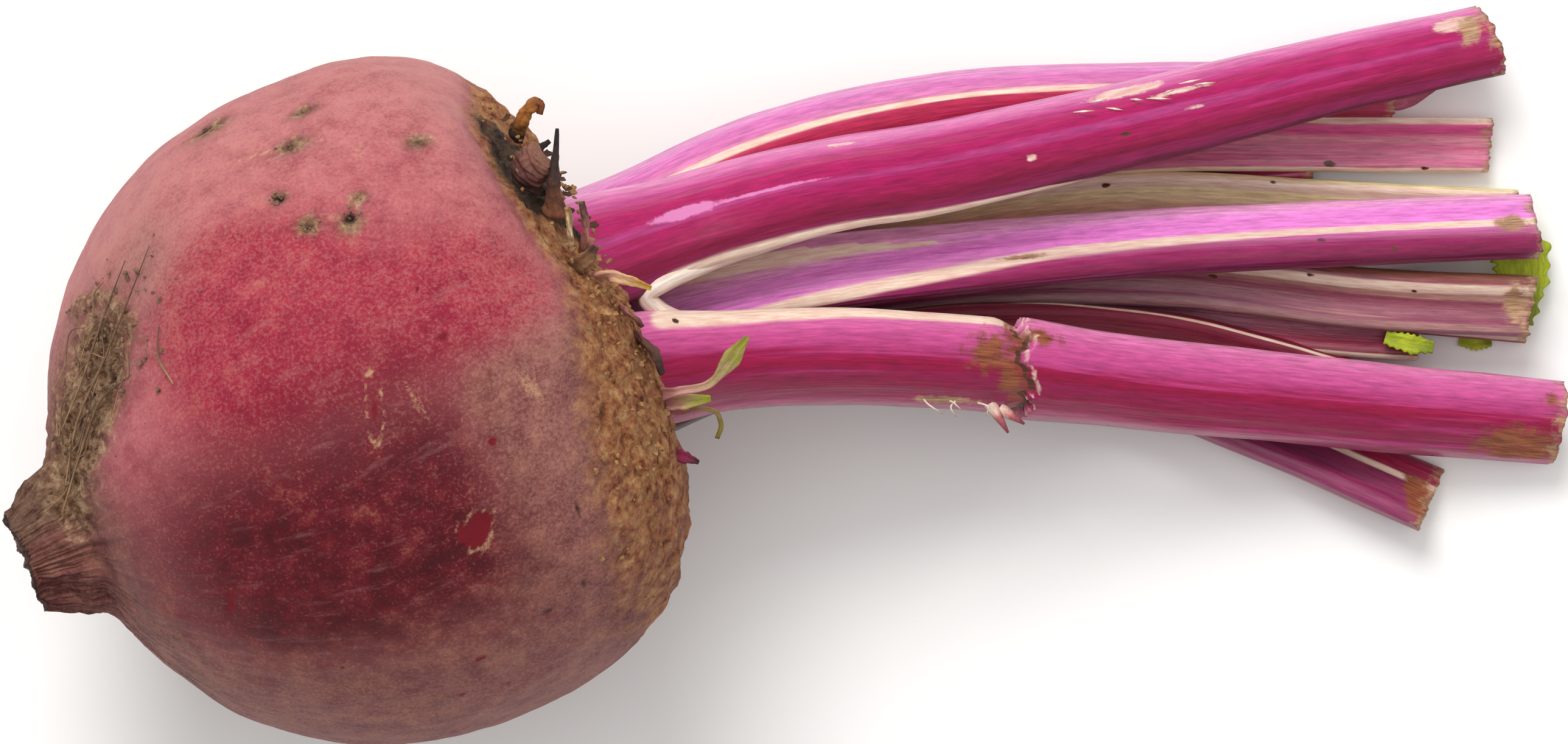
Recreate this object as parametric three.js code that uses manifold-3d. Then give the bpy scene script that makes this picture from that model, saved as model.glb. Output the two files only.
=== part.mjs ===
// Beetroot, freshly lifted, with its leaf stalks trimmed to stubs. Millimetres, +Z up.
// It lies on its belly on a small flat spot, and the trimmed stalks fan out along +X to the surface.
// The origin is the middle of that flat spot.
import * as THREE from 'three';
import { mergeVertices } from 'three/addons/utils/BufferGeometryUtils.js';
import Module from 'manifold-3d';

const wasm = await Module();
wasm.setup();

// ---------------------------------------------------------------- driving dimensions

const clearance = 0.3;              // between pieces that touch

const rootRadius = 40;              // at the widest ring
const bodyBack = 39;                // widest ring to where the round body would close, tail side
const bodyFront = 30.3;             // widest ring to the crown
const crownFullness = 2.9;          // 2 is an ellipse, more is squarer
const tailLength = 46;              // widest ring to the cut of the tail
const tailRadius = 6.3;             // at the cut
const tailFlare = 0.46;             // growth of the tail's radius per millimetre towards the body
const tailBlend = 4;                // how softly the tail runs into the body
const tailStartShare = 0.4;         // of the way to the body's back, where the tail starts to show
const tailFullShare = 0.8;
const furrowDepth = 2.6;            // the dent with the hair roots, beside the tail
const restFlatWidth = 12;           // across the flat spot that the root rests on
const axisTurn = 24;                // degrees, axis seen from above, from +X towards +Y
const axisDip = 9;                  // degrees, the crown end hangs lower than the tail

const stalkOriginAhead = 3.2;       // from the crown out to the axis point that stalks are placed from
const stemStart = 8;                // from there back to a stalk's foot inside the crown, before it is cut
const stemWidthScale = 1;
const stemThicknessScale = 1;

const hairThickness = 0.55;
const bladeThickness = 0.8;         // scraps of leaf blade

// ---------------------------------------------------------------- solids

function solidOf(geometry) {
  const bare = geometry.clone();
  bare.deleteAttribute('normal');
  bare.deleteAttribute('uv');
  const merged = mergeVertices(bare, 1e-4);
  return new wasm.Manifold(new wasm.Mesh({
    numProp: 3,
    vertProperties: new Float32Array(merged.attributes.position.array),
    triVerts: new Uint32Array(merged.index.array),
  }));
}

function geometryOf(solid) {
  const mesh = solid.getMesh();
  const geometry = new THREE.BufferGeometry();
  geometry.setAttribute('position', new THREE.BufferAttribute(new Float32Array(mesh.vertProperties), 3));
  geometry.setIndex(new THREE.BufferAttribute(new Uint32Array(mesh.triVerts), 1));
  geometry.computeVertexNormals();
  return geometry;
}

function mix(a, b, share) {
  return a + (b - a) * share;
}

const radians = THREE.MathUtils.degToRad;

// A half-moon stalk section, one unit to each side and below, with a channel in its upper face.
function channelSection() {
  const shape = new THREE.Shape();
  shape.moveTo(1, 0.25);
  shape.quadraticCurveTo(0.85, 0.75, 0.5, 0.5);
  shape.quadraticCurveTo(0, 0.05, -0.5, 0.5);
  shape.quadraticCurveTo(-0.85, 0.75, -1, 0.25);
  shape.absellipse(0, 0.25, 1, 1.25, Math.PI, 2 * Math.PI, false);
  return shape;
}

function roundSection() {
  const shape = new THREE.Shape();
  shape.absellipse(0, 0, 1, 1, 0, 2 * Math.PI, false);
  return shape;
}

// Sweeps a section along a smooth curve. sizeAt(share) gives half the width and half the thickness
// there, and rollAt(share) the turn of the section about the curve, in degrees; at 0 its y is up.
function sweep(section, route, steps, segments, sizeAt, rollAt, upwards = new THREE.Vector3(0, 0, 1)) {
  const curve = new THREE.CatmullRomCurve3(route, false, 'centripetal');
  const options = { depth: 1, steps, bevelEnabled: false, curveSegments: segments };
  const geometry = new THREE.ExtrudeGeometry(section, options);
  const position = geometry.attributes.position;
  for (let i = 0; i < position.count; i += 1) {
    const share = THREE.MathUtils.clamp(position.getZ(i), 0, 1);
    const centre = curve.getPointAt(share);
    const along = curve.getTangentAt(share);
    const side = new THREE.Vector3().crossVectors(upwards, along).normalize();
    const up = new THREE.Vector3().crossVectors(along, side);
    side.applyAxisAngle(along, radians(rollAt(share)));
    up.applyAxisAngle(along, radians(rollAt(share)));
    const [halfWidth, halfThickness] = sizeAt(share);
    centre.addScaledVector(side, position.getX(i) * halfWidth);
    centre.addScaledVector(up, position.getY(i) * halfThickness);
    position.setXYZ(i, centre.x, centre.y, centre.z);
  }
  return geometry;
}

// ---------------------------------------------------------------- the root

// Radius of the root at a distance from its widest ring, the crown being positive.
function outlineRadius(along) {
  if (along >= 0) {
    const share = Math.min(along / bodyFront, 1);
    return rootRadius * (1 - share ** crownFullness) ** (1 / crownFullness);
  }
  const share = Math.min(-along / bodyBack, 1);
  const body = rootRadius * Math.sqrt(1 - share ** 2);
  const tail = tailRadius + tailFlare * (along + tailLength);
  const tailWeight = THREE.MathUtils.smoothstep(share, tailStartShare, tailFullShare);
  return (body ** tailBlend + (tail * tailWeight) ** tailBlend) ** (1 / tailBlend);
}

// The furrow runs along the root's upper left, from its widest part to the tail.
const furrowSide = 42;              // degrees round the axis from the top, towards the left
const furrowHalfAngle = 18;
const furrowPlaceShare = 0.72;      // of the way to the body's back, where the furrow is deepest
const furrowLengthShare = 0.34;     // its half length, as a share of the same way
function furrowAt(along, degreesFromTop) {
  const across = (degreesFromTop - furrowSide) / furrowHalfAngle;
  const lengthwise = (along / bodyBack + furrowPlaceShare) / furrowLengthShare;
  return furrowDepth * Math.exp(-(across ** 2)) * Math.exp(-(lengthwise ** 2));
}

const profileSteps = 26;
const roundSteps = 40;

function rootGeometry(grow) {
  const points = [new THREE.Vector2(0, -tailLength - grow)];
  for (let i = 0; i <= profileSteps; i += 1) {
    const swing = mix(0, Math.PI, i / profileSteps);
    const along = swing < Math.PI / 2 ? -tailLength * Math.cos(swing) : -bodyFront * Math.cos(swing);
    const radius = i === profileSteps ? 0 : outlineRadius(along) + grow;
    points.push(new THREE.Vector2(radius, along + (i === profileSteps ? grow : 0)));
  }
  const geometry = new THREE.LatheGeometry(points, roundSteps);
  const position = geometry.attributes.position;
  for (let i = 0; i < position.count; i += 1) {
    const spot = new THREE.Vector3().fromBufferAttribute(position, i);
    const radius = Math.hypot(spot.x, spot.z);
    if (radius > 1) {
      const degreesFromTop = THREE.MathUtils.radToDeg(Math.atan2(-spot.x, spot.z));
      const shrink = 1 - furrowAt(spot.y, degreesFromTop) / radius;
      position.setXYZ(i, spot.x * shrink, spot.y, spot.z * shrink);
    }
  }
  return geometry;
}

// The root's own frame: y runs along its axis to the crown, z is the upper side.
const axis = new THREE.Vector3(
  Math.cos(radians(axisDip)) * Math.cos(radians(axisTurn)),
  Math.cos(radians(axisDip)) * Math.sin(radians(axisTurn)),
  -Math.sin(radians(axisDip)),
);
const rightSide = new THREE.Vector3().crossVectors(axis, new THREE.Vector3(0, 0, 1)).normalize();
const upperSide = new THREE.Vector3().crossVectors(rightSide, axis);

// The lowest point of the tilted outline comes to rest at the origin, a little below the surface.
function lowestOfBelly() {
  const lowest = new THREE.Vector3(0, 0, Infinity);
  for (let along = -bodyBack; along <= bodyFront; along += 0.1) {
    const point = axis.clone().multiplyScalar(along).addScaledVector(upperSide, -outlineRadius(along));
    if (point.z < lowest.z) {
      lowest.copy(point);
    }
  }
  return lowest;
}

const restSink = rootRadius - Math.sqrt(rootRadius ** 2 - (restFlatWidth / 2) ** 2);
const rootCentre = lowestOfBelly().negate().add(new THREE.Vector3(0, 0, -restSink));
const rootPlace = new THREE.Matrix4().makeBasis(rightSide, axis, upperSide).setPosition(rootCentre);
const stalksFrom = rootCentre.clone().addScaledVector(axis, bodyFront + stalkOriginAhead);

const surfaceSpan = 500;            // wider than anything that lies on the surface
function surfaceBlock() {
  const block = new THREE.BoxGeometry(surfaceSpan, surfaceSpan, surfaceSpan);
  block.translate(0, 0, -surfaceSpan / 2);
  return solidOf(block);
}

// Each piece gives way to the surface and to every piece fitted before it.
const takenRooms = [surfaceBlock()];
function fitted(makeGeometry) {
  let solid = solidOf(makeGeometry(0));
  for (const room of takenRooms) {
    solid = solid.subtract(room);
  }
  takenRooms.push(solidOf(makeGeometry(clearance)));
  return solid;
}

// ---------------------------------------------------------------- the stalks

// foot: [left, above] of the axis, square to it.
// route: [from the stalks' origin along +X, from it along +Y, above the surface].
// size: [width, thickness] near the crown and at the trimmed end. roll: degrees, there and there;
// at 0 the channel faces up, at 180 the ribbed back does.
const stems = [
  { name: 'top_stem', foot: [7, 7], size: [[14, 8], [10, 5.5]], roll: [145, 152], colour: 0xb0196e,
    route: [[17, 11.7, 36], [36, 15.4, 28.5], [60, 21, 20.5], [88, 28, 12.5], [104.3, 31.6, 8.8]] },
  { name: 'snapped_stem', foot: [-8, 7], size: [[13.5, 8], [11.5, 5.8]], roll: [-145, -152], colour: 0xa8145e,
    route: [[17, -8, 35.5], [38, -8.5, 27.5], [62, -11.2, 19], [88, -13.8, 11.5], [113, -16, 6]] },
  { name: 'middle_stem', foot: [-0.5, 0], size: [[11, 6.5], [9.6, 6.5]], roll: [-30, -45], colour: 0x9c3c86,
    route: [[18, 1.7, 29], [38, 4.1, 22.5], [64, 6.3, 15.5], [90, 7.6, 11], [110, 8.4, 7.5]] },
  { name: 'arched_stem', foot: [9.5, -1.5], size: [[9, 6], [7.5, 5]], roll: [150, 150], colour: 0xa01f60,
    route: [[14, 17.7, 29], [36, 23.2, 20.5], [60, 25, 12.5], [92, 25.6, 5]] },
  { name: 'striped_stem', foot: [-5.5, -8.5], size: [[7.5, 5.5], [8, 5]], roll: [0, 20], colour: 0xa25a76,
    route: [[17, -1.5, 21], [40, 2, 13.5], [65, 2.3, 9.5], [90, -0.4, 9], [109.5, -1.3, 7.8]] },
  { name: 'shaded_stem', foot: [-12, -1.5], size: [[8, 5.5], [7.5, 5]], roll: [-20, -20], colour: 0x6a1236,
    route: [[16, -8.5, 27], [40, -5, 18.5], [63, -5.8, 11], [78, -9, 7], [91, -12.8, 5]] },
  { name: 'pink_stem', foot: [7.5, -9], size: [[7.5, 5.5], [6.8, 4.6]], roll: [0, 10], colour: 0xb06a86,
    route: [[15, 9.5, 21.5], [38, 16, 12], [64, 18.8, 5], [90, 18.8, 2.9], [105, 18.8, 2.6]] },
  { name: 'cream_stem', foot: [1, -9], size: [[6.5, 5.5], [6, 4.4]], roll: [0, 0], colour: 0xc9bd8a,
    route: [[16, 3.5, 20], [38, 9.3, 11], [60, 12.2, 5.5], [84, 11.4, 3], [108, 10.2, 2.4]] },
  { name: 'slanting_stem', foot: [-10, -10], size: [[7.5, 5.5], [10, 6]], roll: [-30, -40], colour: 0x8c1a48,
    route: [[17, -9, 18.5], [40, -8.5, 9.5], [60, -10.8, 4.8], [80, -18, 3.8], [97.5, -25.5, 3.8]] },
  { name: 'crimson_stem', foot: [-4, -14.5], size: [[6, 5], [6.5, 4]], roll: [0, 0], colour: 0x97204a,
    route: [[15, -2.5, 13], [36, -2, 6.5], [62, -2, 5.2], [84, -4.2, 5.2], [96, -4.9, 5.1]] },
  { name: 'slim_stem', foot: [1.5, -15.5], size: [[5.5, 4.5], [5.5, 2.8]], roll: [0, 0], colour: 0xa2506c,
    route: [[14, 2.5, 11.5], [34, 3, 4], [60, 2.5, 1.8], [86, -1, 1.5], [110, -3.2, 1.5]] },
  { name: 'short_stem', foot: [7, -15], size: [[5.5, 4.5], [5, 3.6]], roll: [0, 0], colour: 0x9a2450,
    route: [[13, 8, 12], [33, 11.5, 4.5], [58, 15, 2], [83, 17, 2]] },
];
const stemSteps = 12;
const stemCurveSegments = 3;

function stemGeometry(stem, grow) {
  const foot = stalksFrom.clone().addScaledVector(axis, -stemStart);
  foot.addScaledVector(rightSide, -stem.foot[0]).addScaledVector(upperSide, stem.foot[1]);
  const route = [foot];
  for (const [along, across, height] of stem.route) {
    route.push(new THREE.Vector3(stalksFrom.x + along, stalksFrom.y + across, height));
  }
  const [[footWidth, footThickness], [endWidth, endThickness]] = stem.size;
  const sizeAt = (share) => [
    (mix(footWidth, endWidth, share) * stemWidthScale) / 2 + grow,
    (mix(footThickness, endThickness, share) * stemThicknessScale) / 2 + grow,
  ];
  const rollAt = (share) => mix(stem.roll[0], stem.roll[1], THREE.MathUtils.smoothstep(share, 0, 0.6));
  return sweep(channelSection(), route, stemSteps, stemCurveSegments, sizeAt, rollAt);
}

// ---------------------------------------------------------------- dried leaf bases and the sprout

// A point of the root's skin: distance along the axis from the widest ring, degrees round the axis
// from the top towards the left, and height above the skin.
function skinPoint([along, degrees, lift]) {
  const radius = outlineRadius(along) - furrowAt(along, degrees) + lift;
  const turn = radians(degrees);
  const local = new THREE.Vector3(-radius * Math.sin(turn), along, radius * Math.cos(turn));
  return local.applyMatrix4(rootPlace);
}

// [towards the crown, to the left, up] in the root's own frame, as a turned vector.
function rootwise([forward, left, up]) {
  const vector = axis.clone().multiplyScalar(forward);
  return vector.addScaledVector(rightSide, -left).addScaledVector(upperSide, up);
}

// crownEdge: [from the crown back along the axis, degrees round it from the top] of the foot.
// route: steps from the foot, [forward, left, up]. size: [width, thickness] at even shares.
// face: the way the hollow side looks.
const crownPieces = [
  { name: 'curled_leaf_base', crownEdge: [5.2, 48], face: [1, 0, 0], colour: 0x9a5a2c,
    route: [[0, 0, -1], [1.2, 1.2, 1.6], [2.4, 2, 3], [3.6, 1.8, 3.5], [3, 0.8, 3.2]],
    size: [[2.8, 1.8], [2, 1.5], [1.7, 1.3], [1.6, 1.2], [1, 0.8]] },
  { name: 'little_hook', crownEdge: [4.5, 38], face: [1, 0, 0], colour: 0x2e1c18,
    route: [[0, 0, -0.8], [0.6, 1.6, 0.9], [2, 2, 1.2]], size: [[1.4, 1.1], [1.2, 0.9], [0.7, 0.6]] },
  { name: 'dried_spike', crownEdge: [5.6, 24], face: [1, 0, 0], colour: 0x35211d,
    route: [[0, -0.6, -1], [0.8, 2.4, 1.6], [2.2, 5.2, 2.6], [3.5, 7.8, 3]],
    size: [[3.8, 2.6], [2.8, 1.9], [1.5, 1], [0.5, 0.4]] },
  { name: 'leaf_stub', crownEdge: [6.8, 32], face: [0.7, 0, -0.7], colour: 0x86505a,
    route: [[-0.5, -0.4, -1], [0.9, 0.6, 1.2], [2, 1.2, 2.6]], size: [[4.8, 3.4], [4.6, 3.2], [3.6, 2.4]] },
  { name: 'pink_scale', crownEdge: [5.1, 15], face: [1, 0, 0.4], colour: 0xa06a6c,
    route: [[0.2, -1.6, -0.8], [1.4, 0.4, 1.6], [2, 3.6, 2.8]], size: [[3, 1], [2.8, 0.9], [1.2, 0.7]] },
  { name: 'papery_scale', crownEdge: [5.8, 18], face: [1, 0, 0.4], colour: 0xb89a84,
    route: [[0, -2, -0.6], [0.6, 0, 1.3], [1, 2, 1.9]], size: [[2.4, 0.9], [3, 0.9], [1.4, 0.7]] },
  { name: 'brown_scale', crownEdge: [5.7, 10], face: [0.4, 0, 1], colour: 0x7c5238,
    route: [[-1, -0.4, -0.5], [0.6, 0, 0.9], [2, 0.8, 1.4]], size: [[2.6, 0.9], [2, 0.9], [0.8, 0.6]] },
  { name: 'yellow_tipped_scale', crownEdge: [4.6, 6], face: [0, -0.6, 1], colour: 0xb59a5a,
    route: [[0, 0, -0.8], [1.2, -0.6, 2], [3, -2.2, 2.9], [4.8, -3.8, 2.9]],
    size: [[2.2, 0.9], [1.7, 0.9], [1.3, 0.8], [0.5, 0.5]] },
  { name: 'thin_scale', crownEdge: [3.3, -6], face: [1, 0, 0.4], colour: 0x8c5c48,
    route: [[0, 1.4, -0.6], [0.9, 0, 1.4], [1.3, -1.6, 2]], size: [[1.4, 0.8], [1.7, 0.8], [0.8, 0.6]] },
  { name: 'dark_scale', crownEdge: [2.4, -18], face: [1, 0, 0.5], colour: 0x4c2f28,
    route: [[0, 3, -0.5], [0.9, 0, 1.5], [0.9, -3, 1.3]], size: [[2, 1], [3, 1], [1.2, 0.8]] },
  { name: 'rim_thorn', crownEdge: [2.9, -52], face: [0, 0, 1], colour: 0x8a2a55,
    route: [[-0.4, 0.6, -0.4], [1, -0.6, 0.7], [2, -1.6, 1.2]], size: [[2, 1.6], [1.4, 1.1], [0.5, 0.4]] },
  { name: 'sprout_leaf', crownEdge: [2.1, -33], face: [0, 0, 1], colour: 0x7f8f3f,
    route: [[0, 0, -0.8], [1.8, -0.5, 2.6], [5, -1.2, 4.2], [8, 0.2, 5.4], [11.2, 2, 6]],
    size: [[2, 1.5], [1.2, 1.1], [1.1, 1], [2.2, 0.8], [0.6, 0.4]] },
  { name: 'sprout_small_leaf', crownEdge: [2.2, -36], face: [0, 0, 1], colour: 0xa8a24e,
    route: [[0.4, -0.2, -0.6], [2.4, -0.8, 1.8], [5, -1.6, 2.4]], size: [[1.3, 1], [1.7, 0.8], [0.6, 0.4]] },
  { name: 'sprout_thread', crownEdge: [2.3, -39], face: [0, 0, 1], colour: 0x8c3c50,
    route: [[0.2, -0.2, -0.6], [3, -0.8, 1], [5.2, -2, 1], [5.4, -3.6, 0.2], [4.4, -5, -0.6]],
    size: [[0.9, 0.8], [0.7, 0.6], [0.6, 0.5], [0.5, 0.4]] },
];
const crownPieceSteps = 6;

// A value at a share of the way through a list of [width, thickness] pairs.
function sizeThrough(sizes, share) {
  const place = share * (sizes.length - 1);
  const before = Math.min(Math.floor(place), sizes.length - 2);
  const [a, b] = [sizes[before], sizes[before + 1]];
  return [mix(a[0], b[0], place - before), mix(a[1], b[1], place - before)];
}

function crownPieceGeometry(piece, grow) {
  const [fromCrown, degrees] = piece.crownEdge;
  const foot = skinPoint([bodyFront - fromCrown, degrees, 0]);
  const route = piece.route.map((step) => foot.clone().add(rootwise(step)));
  const sizeAt = (share) => sizeThrough(piece.size, share).map((size) => size / 2 + grow);
  const section = channelSection();
  return sweep(section, route, crownPieceSteps, 2, sizeAt, () => 0, rootwise(piece.face));
}

// ---------------------------------------------------------------- hair roots, shreds and leaf scraps

// Points as skinPoint takes them.
const hairRoots = [
  { name: 'hair_root_1', route: [[-19, 50, 0.4], [-24, 45, 0.6], [-29, 42, 0.6], [-34, 42, 0.6], [-38.5, 36, 0.6]] },
  { name: 'hair_root_2', route: [[-22, 54, 0.4], [-27, 50, 0.7], [-32, 48, 0.5], [-36, 52, 0.6]] },
  { name: 'hair_root_3', route: [[-27, 30, 0.4], [-31, 34, 0.7], [-35, 31, 0.6], [-40, 20, 0.5]] },
  { name: 'hair_root_4', route: [[-22, 33, 0.4], [-23.6, 27, 1], [-23.4, 20, 0.5]] },
];
const hairSteps = 8;

function hairGeometry(hair, grow) {
  const route = hair.route.map(skinPoint);
  const half = hairThickness / 2 + grow;
  return sweep(roundSection(), route, hairSteps, 3, () => [half, half], () => 0);
}

// Route as a stalk's; size: [width, thickness] at even shares.
const looseScraps = [
  { name: 'leaf_scrap', colour: 0x4c6a2c, roughness: 0.6,
    route: [[107.5, 9, 3.9], [109, 4.5, 3.8], [109, 0, 4], [108.5, -3.5, 4]],
    size: [[4, bladeThickness], [7, bladeThickness], [6, bladeThickness], [3.5, bladeThickness]] },
  { name: 'leaf_scrap_small', colour: 0x55702f, roughness: 0.6,
    route: [[91.5, -5.2, 8.1], [94, -5.9, 8.3], [97.5, -6.5, 8]],
    size: [[2, bladeThickness], [3, bladeThickness], [1.4, bladeThickness]] },
  { name: 'leaf_scrap_tiny', colour: 0x55702f, roughness: 0.6,
    route: [[101.5, -5.4, 0.7], [103.5, -5.7, 1], [105.5, -5.5, 0.8]],
    size: [[1.4, bladeThickness], [2.2, bladeThickness], [1, bladeThickness]] },
  { name: 'stem_shred', colour: 0xb35a80, roughness: 0.5,
    route: [[87, 25, 0.9], [91, 24, 0.9], [95, 24.3, 1], [99.5, 27, 1.3]],
    size: [[1.6, 1.2], [1.6, 1.2], [1.4, 1.1], [1.1, 0.9]] },
];

function scrapGeometry(scrap, grow) {
  const route = scrap.route.map(([along, across, height]) => (
    new THREE.Vector3(stalksFrom.x + along, stalksFrom.y + across, height)));
  const sizeAt = (share) => sizeThrough(scrap.size, share).map((size) => size / 2 + grow);
  return sweep(roundSection(), route, crownPieceSteps, 4, sizeAt, () => 0);
}

// ---------------------------------------------------------------- the beetroot

const beetroot = new THREE.Group();
function addPiece(name, colour, roughness, makeGeometry) {
  const material = new THREE.MeshStandardMaterial({ color: colour, roughness, metalness: 0 });
  const mesh = new THREE.Mesh(geometryOf(fitted(makeGeometry)), material);
  mesh.name = name;
  beetroot.add(mesh);
}

addPiece('root', 0x8f3350, 0.7, (grow) => rootGeometry(grow).applyMatrix4(rootPlace));
for (const stem of stems) {
  addPiece(stem.name, stem.colour, 0.4, (grow) => stemGeometry(stem, grow));
}
for (const scrap of looseScraps) {
  addPiece(scrap.name, scrap.colour, scrap.roughness, (grow) => scrapGeometry(scrap, grow));
}
for (const piece of crownPieces) {
  addPiece(piece.name, piece.colour, 0.8, (grow) => crownPieceGeometry(piece, grow));
}
for (const hair of hairRoots) {
  addPiece(hair.name, 0xa8825c, 0.8, (grow) => hairGeometry(hair, grow));
}

export default beetroot;
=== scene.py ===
import math
import random

import bmesh
import bpy
import numpy as np
from mathutils import Matrix, Vector, noise


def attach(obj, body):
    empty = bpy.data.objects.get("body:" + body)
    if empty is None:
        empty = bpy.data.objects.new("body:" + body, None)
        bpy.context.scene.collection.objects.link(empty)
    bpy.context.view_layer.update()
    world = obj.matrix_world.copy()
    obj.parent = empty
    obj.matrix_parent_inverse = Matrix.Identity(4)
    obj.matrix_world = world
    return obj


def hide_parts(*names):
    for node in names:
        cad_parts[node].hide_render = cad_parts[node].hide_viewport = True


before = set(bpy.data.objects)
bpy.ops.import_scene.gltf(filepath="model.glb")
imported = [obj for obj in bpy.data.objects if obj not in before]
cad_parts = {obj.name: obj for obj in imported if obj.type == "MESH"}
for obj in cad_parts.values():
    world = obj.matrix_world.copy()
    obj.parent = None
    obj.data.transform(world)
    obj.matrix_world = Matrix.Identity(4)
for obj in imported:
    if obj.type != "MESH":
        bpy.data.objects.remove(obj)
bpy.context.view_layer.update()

MM = 0.001

# ------------------------------------------------------------------ the root's outline, millimetres

ROOT_RADIUS = 40.0
BODY_BACK = 39.0                # widest ring to where the round body would close, tail side
BODY_FRONT = 30.3               # widest ring to the crown
CROWN_FULLNESS = 2.9
STALK_ORIGIN_AHEAD = 3.2        # from the crown out to the axis point that stalks are placed from
TAIL_LENGTH = 46.0
TAIL_RADIUS = 6.3
TAIL_FLARE = 0.46
TAIL_BLEND = 4
FURROW_DEPTH = 2.6
FURROW_SIDE = 42.0              # degrees round the axis from the top, towards the left
FURROW_HALF_ANGLE = 18.0
REST_FLAT = 12.0
AXIS_TURN = math.radians(24)
AXIS_DIP = math.radians(9)


def smooth(value, low, high):
    share = np.clip((value - low) / (high - low), 0, 1)
    return share * share * (3 - 2 * share)


def mix(a, b, share):
    return a + (b - a) * share


def outline_radius(along):
    """Radius of the root at a distance from its widest ring, the crown being positive."""
    along = np.asarray(along, float)
    front = np.clip(along / BODY_FRONT, 0, 1)
    crown_side = ROOT_RADIUS * (1 - front ** CROWN_FULLNESS) ** (1 / CROWN_FULLNESS)
    back = np.clip(-along / BODY_BACK, 0, 1)
    body = ROOT_RADIUS * np.sqrt(1 - back ** 2)
    tail = (TAIL_RADIUS + TAIL_FLARE * (along + TAIL_LENGTH)) * smooth(back, 0.4, 0.8)
    tail_side = (body ** TAIL_BLEND + tail ** TAIL_BLEND) ** (1 / TAIL_BLEND)
    return np.where(along >= 0, crown_side, tail_side)


def furrow(along, degrees):
    across = (degrees - FURROW_SIDE) / FURROW_HALF_ANGLE
    lengthwise = (along / BODY_BACK + 0.8) / 0.22
    return FURROW_DEPTH * np.exp(-across ** 2) * np.exp(-lengthwise ** 2)


AXIS = Vector((math.cos(AXIS_DIP) * math.cos(AXIS_TURN),
               math.cos(AXIS_DIP) * math.sin(AXIS_TURN), -math.sin(AXIS_DIP)))
LEFT = AXIS.cross(Vector((0, 0, 1))).normalized() * -1
UPPER = AXIS.cross(LEFT)


def lowest_of_belly():
    steps = np.arange(-BODY_BACK, BODY_FRONT, 0.1)
    heights = steps * AXIS.z - outline_radius(steps) * UPPER.z
    along = float(steps[heights.argmin()])
    return AXIS * along - UPPER * float(outline_radius(along))


REST_SINK = ROOT_RADIUS - math.sqrt(ROOT_RADIUS ** 2 - (REST_FLAT / 2) ** 2)
ROOT_CENTRE = -lowest_of_belly() - Vector((0, 0, REST_SINK))
STALKS_FROM = ROOT_CENTRE + AXIS * (BODY_FRONT + STALK_ORIGIN_AHEAD)


def skin_point(along, degrees, lift=0.0):
    """A point of the skin in millimetres, lifted off it by a height."""
    radius = float(outline_radius(along) - furrow(along, degrees)) + lift
    turn = math.radians(degrees)
    return ROOT_CENTRE + AXIS * along + LEFT * radius * math.sin(turn) + UPPER * radius * math.cos(turn)


def rootwise(forward, left, up):
    return AXIS * forward + LEFT * left + UPPER * up


# ------------------------------------------------------------------ mesh helpers


def fractal(points, size, octaves=3, seed=0.0):
    """Noise of about -1 to 1 at points, with features of a size in the points' own unit."""
    shift = Vector((seed, 1.7 * seed, -seed))
    return np.array([noise.fractal(Vector(p) / size + shift, 1.0, 2.0, octaves) for p in points])


def smooth_curve(points, count):
    """Evenly spaced points and directions on a centripetal Catmull-Rom curve."""
    ends = [points[0] * 2 - points[1]] + list(points) + [points[-1] * 2 - points[-2]]
    fine = []
    for a, b, c, d in zip(ends, ends[1:], ends[2:], ends[3:]):
        gap0, gap1, gap2 = (max((q - p).length, 1e-6) ** 0.5 for p, q in ((a, b), (b, c), (c, d)))
        leave = ((b - a) / gap0 - (c - a) / (gap0 + gap1) + (c - b) / gap1) * gap1
        arrive = ((c - b) / gap1 - (d - b) / (gap1 + gap2) + (d - c) / gap2) * gap1
        for i in range(40):
            t = i / 40
            fine.append(b * (2 * t ** 3 - 3 * t ** 2 + 1) + leave * (t ** 3 - 2 * t ** 2 + t)
                        + c * (3 * t ** 2 - 2 * t ** 3) + arrive * (t ** 3 - t ** 2))
    fine = np.array([tuple(p) for p in fine + [points[-1]]])
    reach = np.concatenate([[0], np.cumsum(np.linalg.norm(np.diff(fine, axis=0), axis=1))])
    places = np.linspace(0, reach[-1], count)
    spots = np.stack([np.interp(places, reach, fine[:, k]) for k in range(3)], axis=1)
    ways = np.gradient(spots, axis=0)
    return spots, ways / np.linalg.norm(ways, axis=1, keepdims=True), reach[-1]


def through(sizes, share):
    """[width, thickness] at shares of the way through an evenly spaced list."""
    sizes = np.asarray(sizes, float)
    places = np.linspace(0, 1, len(sizes))
    return np.stack([np.interp(share, places, sizes[:, k]) for k in range(2)], axis=1)


def finished(name, mesh_maker, material, replaces=(), shade_smooth=True):
    """Turns a bmesh in millimetres into a piece of the beetroot, none of it below the surface."""
    for vertex in mesh_maker.verts:
        vertex.co = Vector((vertex.co.x, vertex.co.y, max(vertex.co.z, 0.0))) * MM
    mesh = bpy.data.meshes.new(name)
    mesh_maker.to_mesh(mesh)
    mesh_maker.free()
    mesh.materials.append(material)
    if shade_smooth:
        mesh.shade_smooth()
    piece = bpy.data.objects.new(name, mesh)
    bpy.context.scene.collection.objects.link(piece)
    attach(piece, "root")
    if replaces:
        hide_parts(*replaces)
    return piece


def layer_values(maker, values):
    """Writes arrays of one number or three per vertex as named layers."""
    for name, array in values.items():
        store = maker.verts.layers.float_vector if array.ndim == 2 else maker.verts.layers.float
        layer = store.new(name)
        for vertex, value in zip(maker.verts, array):
            vertex[layer] = Vector(value) if array.ndim == 2 else float(value)


# ------------------------------------------------------------------ sections and swept pieces


def bend(start, control, end, count):
    """Points of a bent line, without its end."""
    t = np.linspace(0, 1, count, endpoint=False)[:, None]
    return (1 - t) ** 2 * start + 2 * t * (1 - t) * control + t ** 2 * end


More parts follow.
